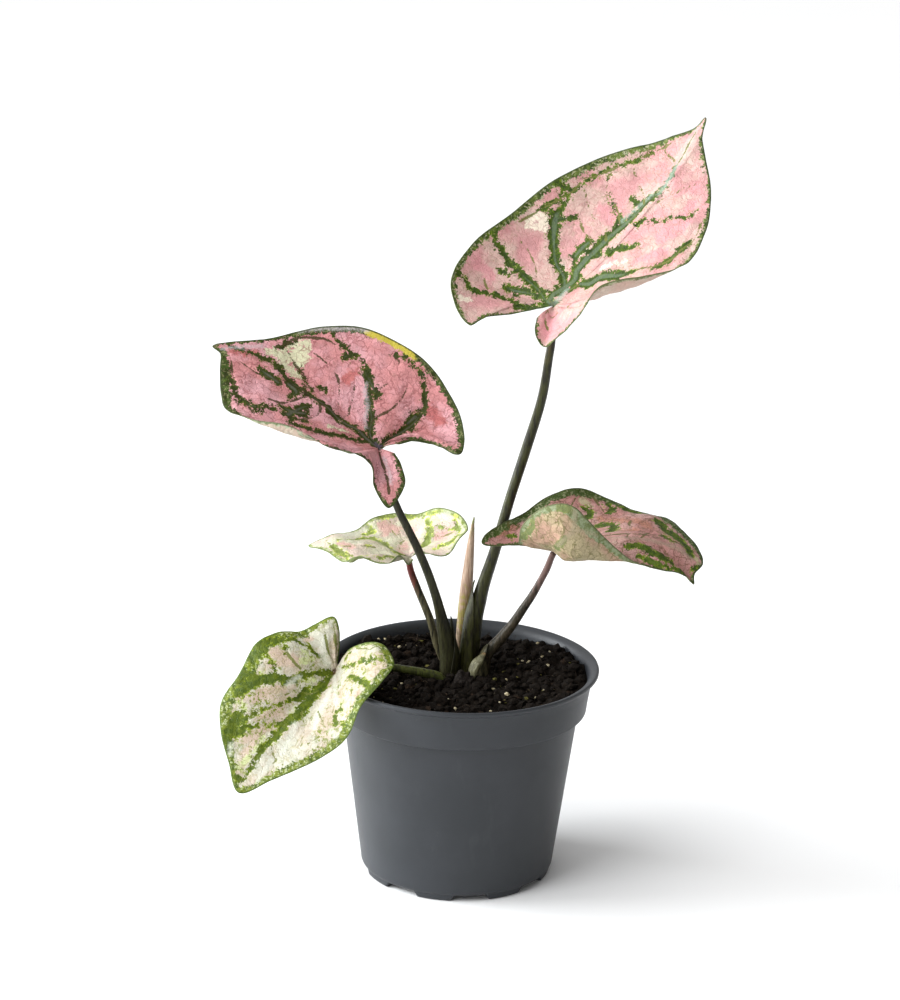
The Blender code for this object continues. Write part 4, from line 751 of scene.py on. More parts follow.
frontLeft = {
    "name": "frontLeftLeaf", "slot": "blade_front_left", "perSpoke": 13, "rings": 76, "relief": 0.8,
    "ribs": [0, 1, 2, 3, 4, 5, 6], "joint": (-54, -20, 97),
    "spokes": [(-53, -19, 100.5, 0, 0, 0), (-52.5, -17, 107.5, -0.5, -1, 0.5),
        (-53.5, -15, 116.5, -0.5, -2, 0.5), (-56, -14, 119.5, -1, -2, 0.5), (-62.5, -15, 116.5, 0, -3, 1),
        (-69.5, -17, 113.5, 0, -3, 1), (-79, -20, 114, 0, -4, 1.5), (-88.5, -25, 109.5, 0, -5, 2),
        (-94.5, -31, 98.5, 0, -5, 2), (-101.5, -38, 89, 0, -5, 2), (-101.5, -46, 78.5, 0, -4, 1.5),
        (-97.5, -54, 67, 0, -3, 1), (-92.5, -62, 56.5, 1, -2, 4), (-78.5, -60, 62, 0, -3, 1),
        (-60.5, -57, 70, 0, -4, 1.5), (-48, -54, 79, 0.5, -5, 2), (-42, -51, 92.5, 0.5, -6, 2.5),
        (-33.5, -46, 102, 0.5, -6, 2.5), (-28.5, -38, 107.5, 0, -6, 4), (-33, -30, 112.5, 0, -6, 4),
        (-41, -25, 112, 0, -4, 1.5), (-48, -21, 107, 0, -1, 0.5), (-51, -20, 102, 0, 0, 0)],
    "rim": [(0, 0.5), (2, 1), (3, 1.5), (4, 2), (5, 4), (6, 5.5), (7, 6.5), (8, 7), (9, 6), (10, 5),
        (11, 3), (12, 2), (13, 3), (14, 3.6), (15, 4), (16, 3.8), (17, 3.2), (18, 3.2), (19, 3.4),
        (20, 2.2), (22, 0.6)],
    "green": [
        [(12, 0.04, 1.1), (12.4, 0.13, 1.8), (12, 0.21, 2.1), (12, 0.33, 2.1), (12, 0.41, 1.8),
         (11.8, 0.49, 1.7), (11.7, 0.6, 1.5), (11.6, 0.71, 1.2), (11.7, 0.8, 0.9), (11.8, 0.87, 0.8),
         (11.8, 0.95, 0.4)],
        [(8.8, 0.05, 1.1), (8.4, 0.2, 1.3), (8.6, 0.33, 1.5), (8.8, 0.43, 1.7), (8.4, 0.57, 2),
         (8.4, 0.7, 2.4), (8.4, 0.81, 2.8), (8.8, 0.86, 3)],
        [(10.4, 0.26, 1.5), (10.8, 0.31, 1.5), (10.4, 0.39, 0.7), (10.3, 0.49, 0.4), (10.1, 0.6, 0.4),
         (10.1, 0.73, 0.7), (10, 0.81, 1.7)],
        [(11.5, 0.5, 0.6), (11, 0.59, 0.4), (10.6, 0.7, 0.5), (10.4, 0.79, 1.3), (10.4, 0.88, 1.7)],
        [(9.8, 0.84, 2.6), (10.1, 0.89, 2.6), (10.4, 0.96, 1.7)],
        [(7.1, 0.86, 0.4), (7.4, 0.74, 0.4), (7.8, 0.65, 0.7)], [(6.6, 0.68, 0.9), (6.8, 0.62, 0.6)],
        [(7.5, 0.94, 2.6), (7, 0.94, 2.6), (6.6, 0.9, 1.7), (6.1, 0.81, 1.3), (5.7, 0.73, 0.9)],
        [(8, 0.94, 2.6), (8.2, 0.95, 2.6)],
        [(16.7, 0.35, 0.8), (16.7, 0.54, 1.3), (16.7, 0.75, 1.5), (16.6, 0.92, 1)],
        [(18, 0.13, 0.6), (18.1, 0.34, 0.6), (18.2, 0.53, 0.7), (18.2, 0.74, 0.8)],
        [(20.4, 0.61, 1), (19.8, 0.33, 0.9)], [(14.6, 0.54, 0.6), (14.6, 0.65, 0.7), (14.9, 0.76, 0.9)],
        [(15, 0.49, 0.5), (15, 0.62, 0.5)], [(5.8, 0.7, 0.7), (5.4, 0.56, 0.7), (5.4, 0.4, 0.6)],
        [(11.5, 0.96, 0.8), (11.8, 0.93, 0.6)], [(11.6, 0.68, 0.9), (11.6, 0.62, 0.9)],
    ],
    "fine": [
        [(6.8, 0.63, 0.3), (7.2, 0.51, 0.3), (7.7, 0.38, 0.2)],
        [(12.2, 0.39, 0.3), (13, 0.49, 0.3), (13.3, 0.64, 0.3), (13.4, 0.75, 0.3)],
        [(13.5, 0.41, 0.2), (14, 0.59, 0.2)], [(10.1, 0.6, 0.3), (10.1, 0.73, 0.3), (10.2, 0.77, 0.3)],
        [(9.5, 0.6, 0.2), (10, 0.58, 0.3)], [(3.6, 0.81, 0.2), (3.8, 0.53, 0.2), (3.8, 0.26, 0.2)],
        [(2.6, 0.85, 0.3), (1.8, 0.6, 0.3), (0.6, 0.65, 0.3)], [(14.6, 0.38, 0.2), (14.4, 0.51, 0.2)],
        [(11.9, 0.67, 0.3), (12.6, 0.77, 0.3), (12.6, 0.81, 0.2)],
        [(16.1, 0.59, 0.2), (15.8, 0.75, 0.2), (16, 0.93, 0.2)],
        [(12.3, 0.19, 0.3), (10.1, 0.31, 0.2), (9.9, 0.44, 0.2)], [(11.2, 0.88, 0.2), (11.5, 0.81, 0.2)],
        [(20.2, 0.82, 0.3), (19, 0.69, 0.3), (19, 0.86, 0.3), (18.5, 0.88, 0.3)],
        [(13.6, 0.75, 0.3), (13.9, 0.73, 0.3), (14.2, 0.7, 0.3)],
    ],
    "cream": [
        [(9.4, 0.2, 1), (9.2, 0.27, 1)], [(10.4, 0.22, 0.7), (10.4, 0.3, 0.4)],
        [(8, 0.77, 1), (8.2, 0.65, 0.9)], [(6.2, 0.5, 1.3), (6.4, 0.35, 1.1), (7.2, 0.39, 1.3)],
        [(11.5, 0.38, 1), (11.5, 0.43, 0.9)], [(11.2, 0.7, 1.3), (11.4, 0.75, 1.1), (11.4, 0.93, 1.3)],
        [(5.9, 0.88, 0.7), (6.4, 0.95, 0.8)], [(8.1, 0.87, 0.6), (8.4, 0.9, 0.5)],
        [(9.4, 0.93, 0.7), (9.2, 0.86, 0.6)], [(18.3, 0.26, 0.9), (17.1, 0.2, 0.6)],
        [(9.4, 0.79, 1.1), (9.8, 0.8, 1)], [(10.3, 0.77, 0.5), (10.3, 0.81, 0.4)],
    ],
    "warm": [
        [(7, 0.79, 2.1), (7.2, 0.61, 3), (7.3, 0.47, 2.1), (7.6, 0.7, 1.7)],
        [(9.2, 0.64, 2.1), (9.3, 0.52, 2.1), (9.4, 0.39, 1.1), (9.4, 0.68, 1.7)],
        [(10.4, 0.61, 1.5), (10.6, 0.5, 1.7), (10.3, 0.7, 0.9)],
        [(10.7, 0.81, 2.1), (10.8, 0.71, 2.1), (10.9, 0.64, 1.3), (11.2, 0.85, 2.1), (11.4, 0.89, 1.3)],
        [(15.8, 0.61, 1.7), (16.2, 0.72, 1.7), (15.7, 0.78, 1.3)], [(18.9, 0.5, 1.3), (17.6, 0.48, 1.3)],
        [(5.2, 0.79, 0.7), (4.8, 0.8, 0.6)],
    ],
    "paintedSheen": [
        [(3.8, 0.68, 1.5), (4.6, 0.45, 1.7), (5.4, 0.17, 1.3)],
        [(14.4, 0.07, 0.9), (14.6, 0.26, 1), (14.6, 0.43, 0.9)],
        [(14, 0.22, 1.3), (13.8, 0.33, 1.7), (13.6, 0.44, 1.7), (13.6, 0.57, 1.5)],
        [(8.6, 0.33, 0.7), (9.2, 0.41, 1.1), (9, 0.37, 0.9)], [(14.4, 0.74, 1.1), (14.6, 0.84, 0.9)],
        [(12.4, 0.49, 1), (12.6, 0.6, 1.1), (12.7, 0.72, 1.3)],
        [(12.5, 0.79, 1.3), (12.4, 0.86, 1.1), (12.4, 0.92, 0.7)],
        [(10.6, 0.94, 0.9), (10.8, 0.97, 0.7)],
    ],
    "upper": {"Line": (0.14, 0.16, 0.03), "Edge": (0.07, 0.11, 0.012), "Speckle": 1.0,
        "Joint": (0.075, 0.022, 0.012), "Flesh Light": (0.53, 0.52, 0.43),
        "Flesh Deep": (0.5, 0.41, 0.33), "Green": (0.088, 0.122, 0.004),
        "Dark Green": (0.05, 0.082, 0.003), "Rim Green": (0.16, 0.2, 0.018),
        "Rim Fleck": (0.52, 0.56, 0.32), "Cream": (0.52, 0.57, 0.29), "Warm": (0.52, 0.39, 0.31),
        "Painted Sheen": (0.64, 0.65, 0.56), "Net": (0.3, 0.24, 0.09), "Net Strength": 0.45, "Jagged": 1.0,
        "Fleck Amount": 0.7},
    "under": {"Line": (0.22, 0.23, 0.1), "Edge": (0.12, 0.16, 0.05), "Flesh Light": (0.5, 0.46, 0.34),
        "Flesh Deep": (0.44, 0.38, 0.24), "Green": (0.2, 0.25, 0.08), "Dark Green": (0.15, 0.19, 0.06),
        "Rim Green": (0.3, 0.35, 0.16), "Rim Fleck": (0.5, 0.48, 0.34), "Cream": (0.54, 0.52, 0.4),
        "Warm": (0.44, 0.34, 0.22), "Painted Sheen": (0.5, 0.48, 0.38), "Net": (0.4, 0.34, 0.2),
        "Net Strength": 0.4, "Jagged": 0.5},
}
makeLeaf(frontLeft)


# the skin of stalks, sheaths and the scale leaf, with another colour towards the tip
stalkInputs = {"Skin": grey, "Skin Dark": grey, "Streak": grey, "Tip": grey, "Along": 0.0,
               "Tip Amount": 0.0, "Tip Start": 0.8, "Gloss": 0.4}


def drawnOut(tree, place, squeeze):
    # noise that reads these places is drawn out along the stalk
    return vectors(tree, "MULTIPLY", place, (1.0, 1.0, squeeze))


def buildStalkSkin():
    tree, g, place = openGroup("stalkSkin", stalkInputs)
    drawn = drawnOut(tree, place, 0.16)
    tone = cloud(tree, drawn, 0.7, 4.0, 0.6)
    colour = blendColour(tree, rise(tree, tone, 0.36, 0.62), g["Skin Dark"], g["Skin"])
    streak = rise(tree, cloud(tree, drawn, 1.9, 3.0, 0.6), 0.52, 0.68)
    colour = cover(tree, colour, streak, 0.5, g["Streak"])
    mottle = rise(tree, cloud(tree, place, 1.3, 4.0, 0.7), 0.58, 0.66)
    colour = cover(tree, colour, mottle, 0.35, g["Skin Dark"])
    reached = minus(tree, plus(tree, g["Along"], swing(tree, tone, 0.5)), g["Tip Start"])
    colour = cover(tree, colour, rise(tree, reached, 0.0, 0.22), g["Tip Amount"], g["Tip"])
    gloss = plus(tree, g["Gloss"], times(tree, cloud(tree, place, 0.8, 3.0), 0.2))
    height = plus(tree, cloud(tree, drawn, 2.2, 3.0), times(tree, tone, 0.6))
    return closeGroup(tree, colour, gloss, height)


stalkSkin = buildStalkSkin()


def stalkFinish(name, look):
    return newFinish(name + "Skin", stalkSkin, {"Along": "along", **look}, 0.25, 0.0006, 0.5)


def tubeGrid(rows, sides, shape=None):
    # rings of points round a path of x, y, z and radius; shape(angle, share) changes the radius
    rows = np.array(rows, dtype=float)
    way = unit(np.gradient(rows[:, :3], axis=0))
    side = unit(np.cross(way[0], [0.3, 1.0, 0.1]))
    grid = []
    for index, (row, ahead) in enumerate(zip(rows, way)):
        side = unit(side - ahead * (side @ ahead))
        other = np.cross(ahead, side)
        share = index / (len(rows) - 1)
        for step in range(sides):
            angle = fullTurn * step / sides
            radius = row[3] * (shape(angle, share) if shape else 1.0)
            grid.append(row[:3] + radius * (math.cos(angle) * side + math.sin(angle) * other))
    return np.array(grid), np.repeat(np.linspace(0, 1, len(rows)), sides)


def tubeFaces(rings, sides, first=0):
    faces = []
    for ring in range(rings - 1):
        for step in range(sides):
            a = first + ring * sides + step
            b = first + ring * sides + (step + 1) % sides
            faces.append((a, b, b + sides, a + sides))
    faces.append(tuple(first + step for step in reversed(range(sides))))
    faces.append(tuple(first + (rings - 1) * sides + step for step in range(sides)))
    return faces


# centre lines of the stalks and of the rolled leaf: x, y, z and radius
stalkRows = {
    "stalk_upper_left": [(-6, 12.5, 75, 3), (-5.7, 12.3, 85, 4), (-5.5, 12, 93.5, 4.1),
        (-7, 11.5, 101, 3.5), (-9.5, 10, 113, 2.4), (-12, 9, 122.5, 2), (-16, 8.5, 134, 1.9),
        (-21, 7, 146, 1.8), (-25.5, 5.5, 155.5, 1.7), (-29, 4.5, 163, 1.6), (-33.5, 3.5, 175, 1.5),
        (-37, 2.5, 189.5, 1.3)],
    "stalk_upper_right": [(2.5, 16, 75, 3), (2.6, 17, 85, 3.8), (3.5, 17, 91.5, 3.9), (5, 17, 108.5, 3.7),
        (7, 17, 118, 3.3), (9, 17, 126, 2.8), (13.5, 16, 142, 2.4), (19, 15, 164.5, 2.2),
        (25.5, 14, 188, 2.2), (31.5, 12, 211, 2), (34, 10, 230, 1.8), (35, 9.5, 238.5, 1.7),
        (35.5, 8.5, 252.5, 1.6)],
    "stalk_low_right": [(9.5, 11, 75, 2), (10, 11.5, 85, 2.5), (11, 11, 94.5, 2.6), (17, 9.5, 103, 2.4),
        (22, 8, 110.5, 2.1), (26, 7, 117.5, 1.9), (30, 6, 124.5, 1.7), (33.5, 4.5, 132, 1.5),
        (36, 3, 138, 1.5), (37.5, 1.5, 143, 1.4), (38.4, 0.6, 145.6, 1.4)],
    "stalk_back_left": [(-7, 20.5, 75, 1.6), (-8, 21, 87, 1.7), (-11, 22, 95, 1.7), (-14, 23, 105.5, 1.7),
        (-20, 25, 119.5, 1.6), (-23, 26, 127, 1.5), (-24, 26, 131.5, 1.4)],
    "stalk_front_left": [(-5, 4.5, 75, 1.6), (-6, 4.2, 81.5, 1.8), (-9.5, 3, 86.5, 2.1),
        (-15.5, 1, 89, 2), (-28.5, -4, 93, 1.7), (-43, -12, 97.5, 1.5), (-50, -17, 98, 1.4),
        (-53, -18.7, 96.9, 1.2)],
    "new_leaf": [(0, 23.5, 75, 1.5), (-1, 24, 85, 1.6), (-1, 23, 97, 1.7), (0, 23, 107, 2.4),
        (1.5, 22, 122, 2.8), (2.5, 21.5, 136.5, 2), (3, 21, 143.5, 1.5), (3.5, 21, 150.5, 0.8),
        (4, 21, 154.5, 0.3)],
}
darkStalk = {"Skin": (0.026, 0.026, 0.009), "Skin Dark": (0.010, 0.009, 0.004),
             "Streak": (0.048, 0.042, 0.020), "Tip": (0.08, 0.028, 0.022), "Gloss": 0.3}
stalkSets = {
    "upperLeftStalk": {"slot": "stalk_upper_left", "look": {"Tip Amount": 0.5}},
    "upperRightStalk": {"slot": "stalk_upper_right",
                        "look": {"Skin": (0.036, 0.038, 0.008), "Tip Amount": 0.3, "Gloss": 0.28}},
    "lowRightStalk": {"slot": "stalk_low_right",
                      "look": {"Skin": (0.042, 0.034, 0.020), "Streak": (0.10, 0.072, 0.054),
                               "Tip": (0.15, 0.085, 0.075), "Tip Amount": 0.7, "Tip Start": 0.55}},
    "backLeftStalk": {"slot": "stalk_back_left",
                      "look": {"Skin": (0.085, 0.075, 0.038), "Tip": (0.13, 0.018, 0.014),
                               "Tip Amount": 1.0, "Tip Start": 0.62, "Gloss": 0.32}},
    "frontLeftStalk": {"slot": "stalk_front_left",
                       "look": {"Skin": (0.085, 0.10, 0.022), "Skin Dark": (0.028, 0.032, 0.010),
                                "Tip": (0.12, 0.020, 0.015), "Tip Amount": 1.0, "Tip Start": 0.86}},
}
stalkForm = {"sides": 28, "steps": 14, "ribs": 9, "ribDepth": 0.018, "oval": 0.03}


def makeStalk(name, given):
    rows = smoothRows(stalkRows[given["slot"]], stalkForm["steps"])
    turn = random.Random(len(name) + len(rows)).uniform(0, 6.28)

    def ribbed(angle, share):
        ribs = stalkForm["ribDepth"] * math.cos(stalkForm["ribs"] * angle + 3 * share)
        return 1.0 + ribs + stalkForm["oval"] * math.cos(angle + turn + 2 * share) * (1 - share)

    grid, along = tubeGrid(rows, stalkForm["sides"], ribbed)
    finish = stalkFinish(name, {**darkStalk, **given["look"]})
    piece(name, grid, tubeFaces(len(rows), stalkForm["sides"]), [finish], (given["slot"],),
          values={"along": along})


for name, given in stalkSets.items():
    makeStalk(name, given)
print("stalks made")


def shellFaces(rings, steps):
    # two sheets of rings by steps + 1 points, the inner one first, closed along their edges
    line = steps + 1
    total = rings * line
    faces = []
    for ring in range(rings - 1):
        for step in range(steps):
            a = ring * line + step
            faces.append((a + line, a + line + 1, a + 1, a))
            faces.append((total + a, total + a + 1, total + a + line + 1, total + a + line))
    loop = list(range(line)) + [ring * line + steps for ring in range(1, rings)]
    loop += [(rings - 1) * line + step for step in range(steps - 1, -1, -1)]
    loop += [ring * line for ring in range(rings - 2, -1, -1)]
    faces += [(a, b, total + b, total + a) for a, b in zip(loop, loop[1:])]
    return faces


# sheaths: thin shells round the foot of a stalk that open in a slit and end in a free point;
# side and wide are degrees round the stalk
sheathSets = {
    "upperRightSheath": {"slot": "stalk_upper_right", "low": 84.0, "high": 127.5, "side": 188.0,
                         "wide": 205.0, "clear": 0.35, "flare": 1.1,
                         "look": {"Skin": (0.040, 0.042, 0.009), "Gloss": 0.35}},
    "upperLeftSheath": {"slot": "stalk_upper_left", "low": 84.0, "high": 112.0, "side": 20.0,
                        "wide": 190.0, "clear": 0.3, "flare": 1.3, "look": {"Gloss": 0.32}},
    "lowRightSheath": {"slot": "stalk_low_right", "low": 84.0, "high": 101.0, "side": 200.0,
                       "wide": 200.0, "clear": 0.25, "flare": 0.8,
                       "look": {"Skin": (0.08, 0.07, 0.035), "Gloss": 0.35}},
}
sheathForm = {"steps": 24, "thick": 0.35, "curl": 0.25, "endSpread": 0.04}


def makeSheath(name, given):
    rows = smoothRows(stalkRows[given["slot"]], 10)
    rows = rows[(rows[:, 2] >= given["low"]) & (rows[:, 2] <= given["high"])]
    steps = sheathForm["steps"]
    inner, outer = [], []
    for index, row in enumerate(rows):
        share = index / (len(rows) - 1)
        spread = math.radians(given["wide"]) * (1 - share ** 2.2) * 0.5 + sheathForm["endSpread"]
        for step in range(steps + 1):
            side = 2 * step / steps - 1
            turn = math.radians(given["side"]) + spread * side
            gap = given["clear"] + given["flare"] * share ** 3 + sheathForm["curl"] * share * side ** 2
            way = np.array([math.cos(turn), math.sin(turn), 0.0])
            inner.append(row[:3] + way * (row[3] + gap))
            outer.append(row[:3] + way * (row[3] + gap + sheathForm["thick"]))
    along = np.repeat(np.linspace(0, 0.3, len(rows)), steps + 1)
    finish = stalkFinish(name, {**darkStalk, **given["look"]})
    piece(name, np.array(inner + outer), shellFaces(len(rows), steps), [finish],
          values={"along": np.concatenate([along, along])})


for name, given in sheathSets.items():
    makeSheath(name, given)


# the young leaf, still rolled: its free edge winds round it in a long ridge
rolledLeaf = {"sides": 48, "steps": 16, "edge": 0.16, "turns": 0.55, "start": 2.3, "crease": 38,
              "skinDeep": (0.30, 0.185, 0.12), "skin": (0.50, 0.36, 0.26), "tip": (0.16, 0.17, 0.05),
              "spot": (0.30, 0.27, 0.04), "foot": (0.17, 0.13, 0.07), "lines": (0.20, 0.15, 0.07)}


def buildRolledSkin():
    tree, g, place = openGroup("rolledSkin", {"Along": 0.0})
    drawn = drawnOut(tree, place, 0.12)
    tone = cloud(tree, drawn, 0.9, 4.0, 0.6)
    colour = blendColour(tree, rise(tree, tone, 0.35, 0.65), rolledLeaf["skinDeep"], rolledLeaf["skin"])
    reached = plus(tree, g["Along"], swing(tree, cloud(tree, place, 0.35, 3.0), 0.5))
    colour = blendColour(tree, rise(tree, reached, 0.74, 0.97), colour, rolledLeaf["tip"])
    spot = times(tree, rise(tree, reached, 0.30, 0.38), fall(tree, reached, 0.40, 0.50))
    colour = cover(tree, colour, spot, 0.75, rolledLeaf["spot"])
    colour = blendColour(tree, fall(tree, reached, 0.10, 0.36), colour, rolledLeaf["foot"])
    lines = rise(tree, cloud(tree, drawn, 3.0, 2.0), 0.55, 0.7)
    colour = cover(tree, colour, lines, 0.3, rolledLeaf["lines"])
    return closeGroup(tree, colour, scaled(tree, tone, 0.3, 0.3), cloud(tree, drawn, 2.6, 3.0))


def wound(angle, share):
    turn = (angle / fullTurn + rolledLeaf["turns"] * share + rolledLeaf["start"]) % 1.0
    ridge = rolledLeaf["edge"] * min(1.0, max(0.0, (share - 0.12) * 6))
    return 1.0 - ridge * 0.5 + ridge * turn ** 1.5


def makeRolledLeaf():
    rows = smoothRows(stalkRows["new_leaf"], rolledLeaf["steps"])
    grid, along = tubeGrid(rows, rolledLeaf["sides"], wound)
    finish = newFinish("rolledLeafSkin", buildRolledSkin(), {"Along": "along"}, 0.4, 0.0005, 0.5)
    made = piece("rolledLeaf", grid, tubeFaces(len(rows), rolledLeaf["sides"]), [finish],
                 ("new_leaf",), values={"along": along})
    made.data.set_sharp_from_angle(angle=math.radians(rolledLeaf["crease"]))


makeRolledLeaf()

# scale leaf: a small cupped sheath at the crown, papery and pale with fine ribs
scaleLeaf = {"across": (0.85, -0.35, -0.40), "outwards": (0.30, -0.90, 0.10), "cup": 0.54,
             "thick": 0.45, "ribs": 5, "ribDepth": 0.06, "steps": 32,
             "rows": [(4.6, 4.6, 86.6, 1.6), (5.4, 5, 89.5, 2.3), (6.8, 5.6, 92.5, 2.3),
                      (8.6, 6.4, 95, 1.5), (10.2, 7.2, 97, 0.5)],  # x, y, z and half width
             "look": {"Skin": (0.12, 0.115, 0.06), "Skin Dark": (0.05, 0.045, 0.018),
                      "Streak": (0.30, 0.28, 0.18), "Tip": (0.14, 0.08, 0.03), "Tip Amount": 0.8}}


def makeScaleLeaf():
    rows = smoothRows(scaleLeaf["rows"], 12)
    across = unit(np.array(scaleLeaf["across"]))
    outwards = unit(np.array(scaleLeaf["outwards"]))
    steps = scaleLeaf["steps"]
    front, back = [], []
    for x, y, z, half in rows:
        for step in range(steps + 1):
            side = 2 * step / steps - 1
            rib = scaleLeaf["ribDepth"] * math.cos(side * math.pi * scaleLeaf["ribs"])
            lift = scaleLeaf["cup"] * half * (1 - side ** 2) * 1.25 + rib
            spot = np.array([x, y, z]) + across * side * half + outwards * lift
            front.append(spot + outwards * scaleLeaf["thick"] / 2)
            back.append(spot - outwards * scaleLeaf["thick"] / 2)
    along = np.repeat(np.linspace(0, 1, len(rows)), steps + 1)
    piece("scaleLeaf", np.array(back + front), shellFaces(len(rows), steps),
          [stalkFinish("scaleLeaf", scaleLeaf["look"])], ("scale_leaf",),
          values={"along": np.concatenate([along, along])})


makeScaleLeaf()
print("sheaths, young leaf and scale leaf made")

# pot: radii, heights and thicknesses of the moulding; the notches between the feet, in degrees; the place
# in mm of a small dimple whose shade is painted
pot = {"rim": 60.0, "height": 94.0, "wall": 1.2, "collarDrop": 18.5, "collarStep": 3.5, "bodyTop": 51.5,
       "bodyFoot": 42.3, "floor": 3.0, "floorThick": 1.4, "ring": 41.0, "ringWidth": 5.5, "feet": 8,
       "notch": 20.0, "firstFoot": -103.5, "drainRadius": 3.5, "drainCircle": 20.0, "steps": 256,
       "dimpleShadeSpot": (31.5, -37.5, 28.0), "crease": 40,
       "look": {"Base": (0.026, 0.029, 0.034), "Dark": (0.021, 0.024, 0.028), "Dust": (0.08, 0.085, 0.09)}}
collarFoot = pot["height"] - pot["collarDrop"]
collarRadius = pot["bodyTop"] + pot["collarStep"]


def potProfile():
    rim, top, body, foot = pot["rim"], pot["height"], pot["bodyTop"], pot["bodyFoot"]
    under, ring = pot["floor"], pot["ring"]
    floor = under + pot["floorThick"]
    ringIn = ring - pot["ringWidth"]
    lowWall, highWall = (foot - 1.4, floor + 2.2), (body - pot["wall"], collarFoot - 0.8)
    inside = [(0, floor), (foot - 6.0, floor), (foot - 3.6, floor + 0.3), (foot - 2.2, floor + 1.0),
              lowWall]
    inside += [(lowWall[0] + (highWall[0] - lowWall[0]) * t, lowWall[1] + (highWall[1] - lowWall[1]) * t)
               for t in (0.25, 0.5, 0.75, 1.0)]
    inside += [(body + 0.4, collarFoot + 0.6), (collarRadius - 1.9, collarFoot + 1.1),
               (collarRadius - 1.4, collarFoot + 2.0), (collarRadius - 0.8, collarFoot + 7.0)]
    # the lip, over its top and back under it: in from the rim, down from the top
    lip = [(4.6, 4.0), (4.2, 2.2), (3.2, 1.0), (2.2, 0.45), (1.2, 0.1), (0.6, 0.0), (0.15, 0.25),
           (0.0, 0.7), (0.05, 1.3), (0.5, 1.9), (1.6, 2.5), (2.6, 3.1), (3.1, 4.0), (3.5, 7.5)]
    outside = [(rim - inwards, top - down) for inwards, down in lip]
    outside += [(collarRadius + 0.4, collarFoot + 4.0), (collarRadius, collarFoot + 0.5),
                (collarRadius - 0.15, collarFoot + 0.05), (collarRadius - 0.6, collarFoot - 0.3),
                (body + 0.5, collarFoot - 0.55), (body + 0.05, collarFoot - 0.9)]
    outside += [(body + (foot - body) * t, collarFoot - 0.9 + (under + 2.6 - collarFoot + 0.9) * t)
                for t in (0.05, 0.25, 0.5, 0.75, 0.95, 1.0)]
    outside += [(foot - 0.12, under + 1.4), (foot - 0.45, under + 0.5), (foot - 0.9, under),
                (ring + 0.12, under - 0.35), (ring, under - 0.8), (ring - 0.1, 0.7), (ring - 0.35, 0.2),
                (ring - 0.8, 0.0), (ringIn + 0.4, 0.0), (ringIn, 0.4), (ringIn - 0.3, under - 0.4),
                (ringIn - 0.8, under), (8.0, under), (7.0, 0.3), (6.6, 0.0), (0, 0.0)]
    return inside + outside


def buildPotPlastic():
    tree, g, place = openGroup("pottingPlastic", {"Base": grey, "Dust": grey, "Dark": grey})
    tone = cloud(tree, place, 0.035, 4.0, 0.55)
    colour = blendColour(tree, rise(tree, tone, 0.35, 0.65), g["Base"], g["Dark"])
    grain = cloud(tree, place, 2.4, 4.0, 0.6)
    smear = vectors(tree, "MULTIPLY", place, (0.25, 0.25, 0.05))
    worn = rise(tree, cloud(tree, smear, 0.5, 5.0, 0.7), 0.56, 0.72)
    colour = cover(tree, colour, worn, 0.12, g["Dust"])
    specks = rise(tree, cloud(tree, place, 0.9, 2.0), 0.74, 0.78)
    colour = cover(tree, colour, specks, 0.35, g["Dust"])
    # painted shade: a near-black spot where a small dimple in the wall lies, the dimple itself not modelled
    spot = put(tree, "ShaderNodeVectorMath", {0: place, 1: pot["dimpleShadeSpot"]}, operation="DISTANCE").outputs[1]
    colour = cover(tree, colour, fall(tree, spot, 1.1, 1.5), 0.55, (0.01, 0.01, 0.01))

    # a little mix clings to the wall inside the lip, which is where the cone of this radius lies
    x, y, z = put(tree, "ShaderNodeSeparateXYZ", {0: place}).outputs
    radius = calc(tree, "SQRT", plus(tree, times(tree, x, x), times(tree, y, y)))
    inner = fall(tree, plus(tree, radius, times(tree, z, -0.13)), 44.1, 44.3)
    inner = times(tree, inner, rise(tree, z, 78.0, 79.0))
    thinner = times(tree, minus(tree, z, 86.0), 0.022)
    dirt = rise(tree, minus(tree, cloud(tree, place, 0.55, 5.0, 0.7), thinner), 0.50, 0.54)
    colour = cover(tree, colour, times(tree, inner, dirt), 0.85, (0.012, 0.009, 0.007))
    rough = plus(tree, scaled(tree, grain, 0.16, 0.36), times(tree, worn, 0.10))
    height = plus(tree, grain, times(tree, cloud(tree, place, 7.0, 2.0), 0.5))
    return closeGroup(tree, colour, rough, height)


def footedRing(radius, height):
    # one ring of the pot; low rings rise to the floor in the notches between the feet
    spacing = 360 / pot["feet"]
    roof = pot["floor"] - 0.3
    points = []
    for step in range(pot["steps"]):
        turn = 360 * step / pot["steps"]
        between = (turn - pot["firstFoot"] - spacing / 2) % spacing
        between = min(between, spacing - between)
        slope = min(1.0, max(0.0, (pot["notch"] / 2 + 1.6 - between) / 1.8))
        notched = height < roof and radius > 20
        z = height + (roof - height) * slope if notched else height
        points.append((radius * math.cos(math.radians(turn)), radius * math.sin(math.radians(turn)), z))
    return points


def turnedFaces(rings, steps):
    # faces of a turned form: a middle point, rings of points and another middle point
    faces = []
    for step in range(steps):
        after = (step + 1) % steps
        faces.append((0, 1 + step, 1 + after))
        for ring in range(rings - 1):
            a, b = 1 + ring * steps, 1 + (ring + 1) * steps
            faces.append((a + step, b + step, b + after, a + after))
        edge = 1 + (rings - 1) * steps
        faces.append((edge + steps, edge + after, edge + step))
    return faces


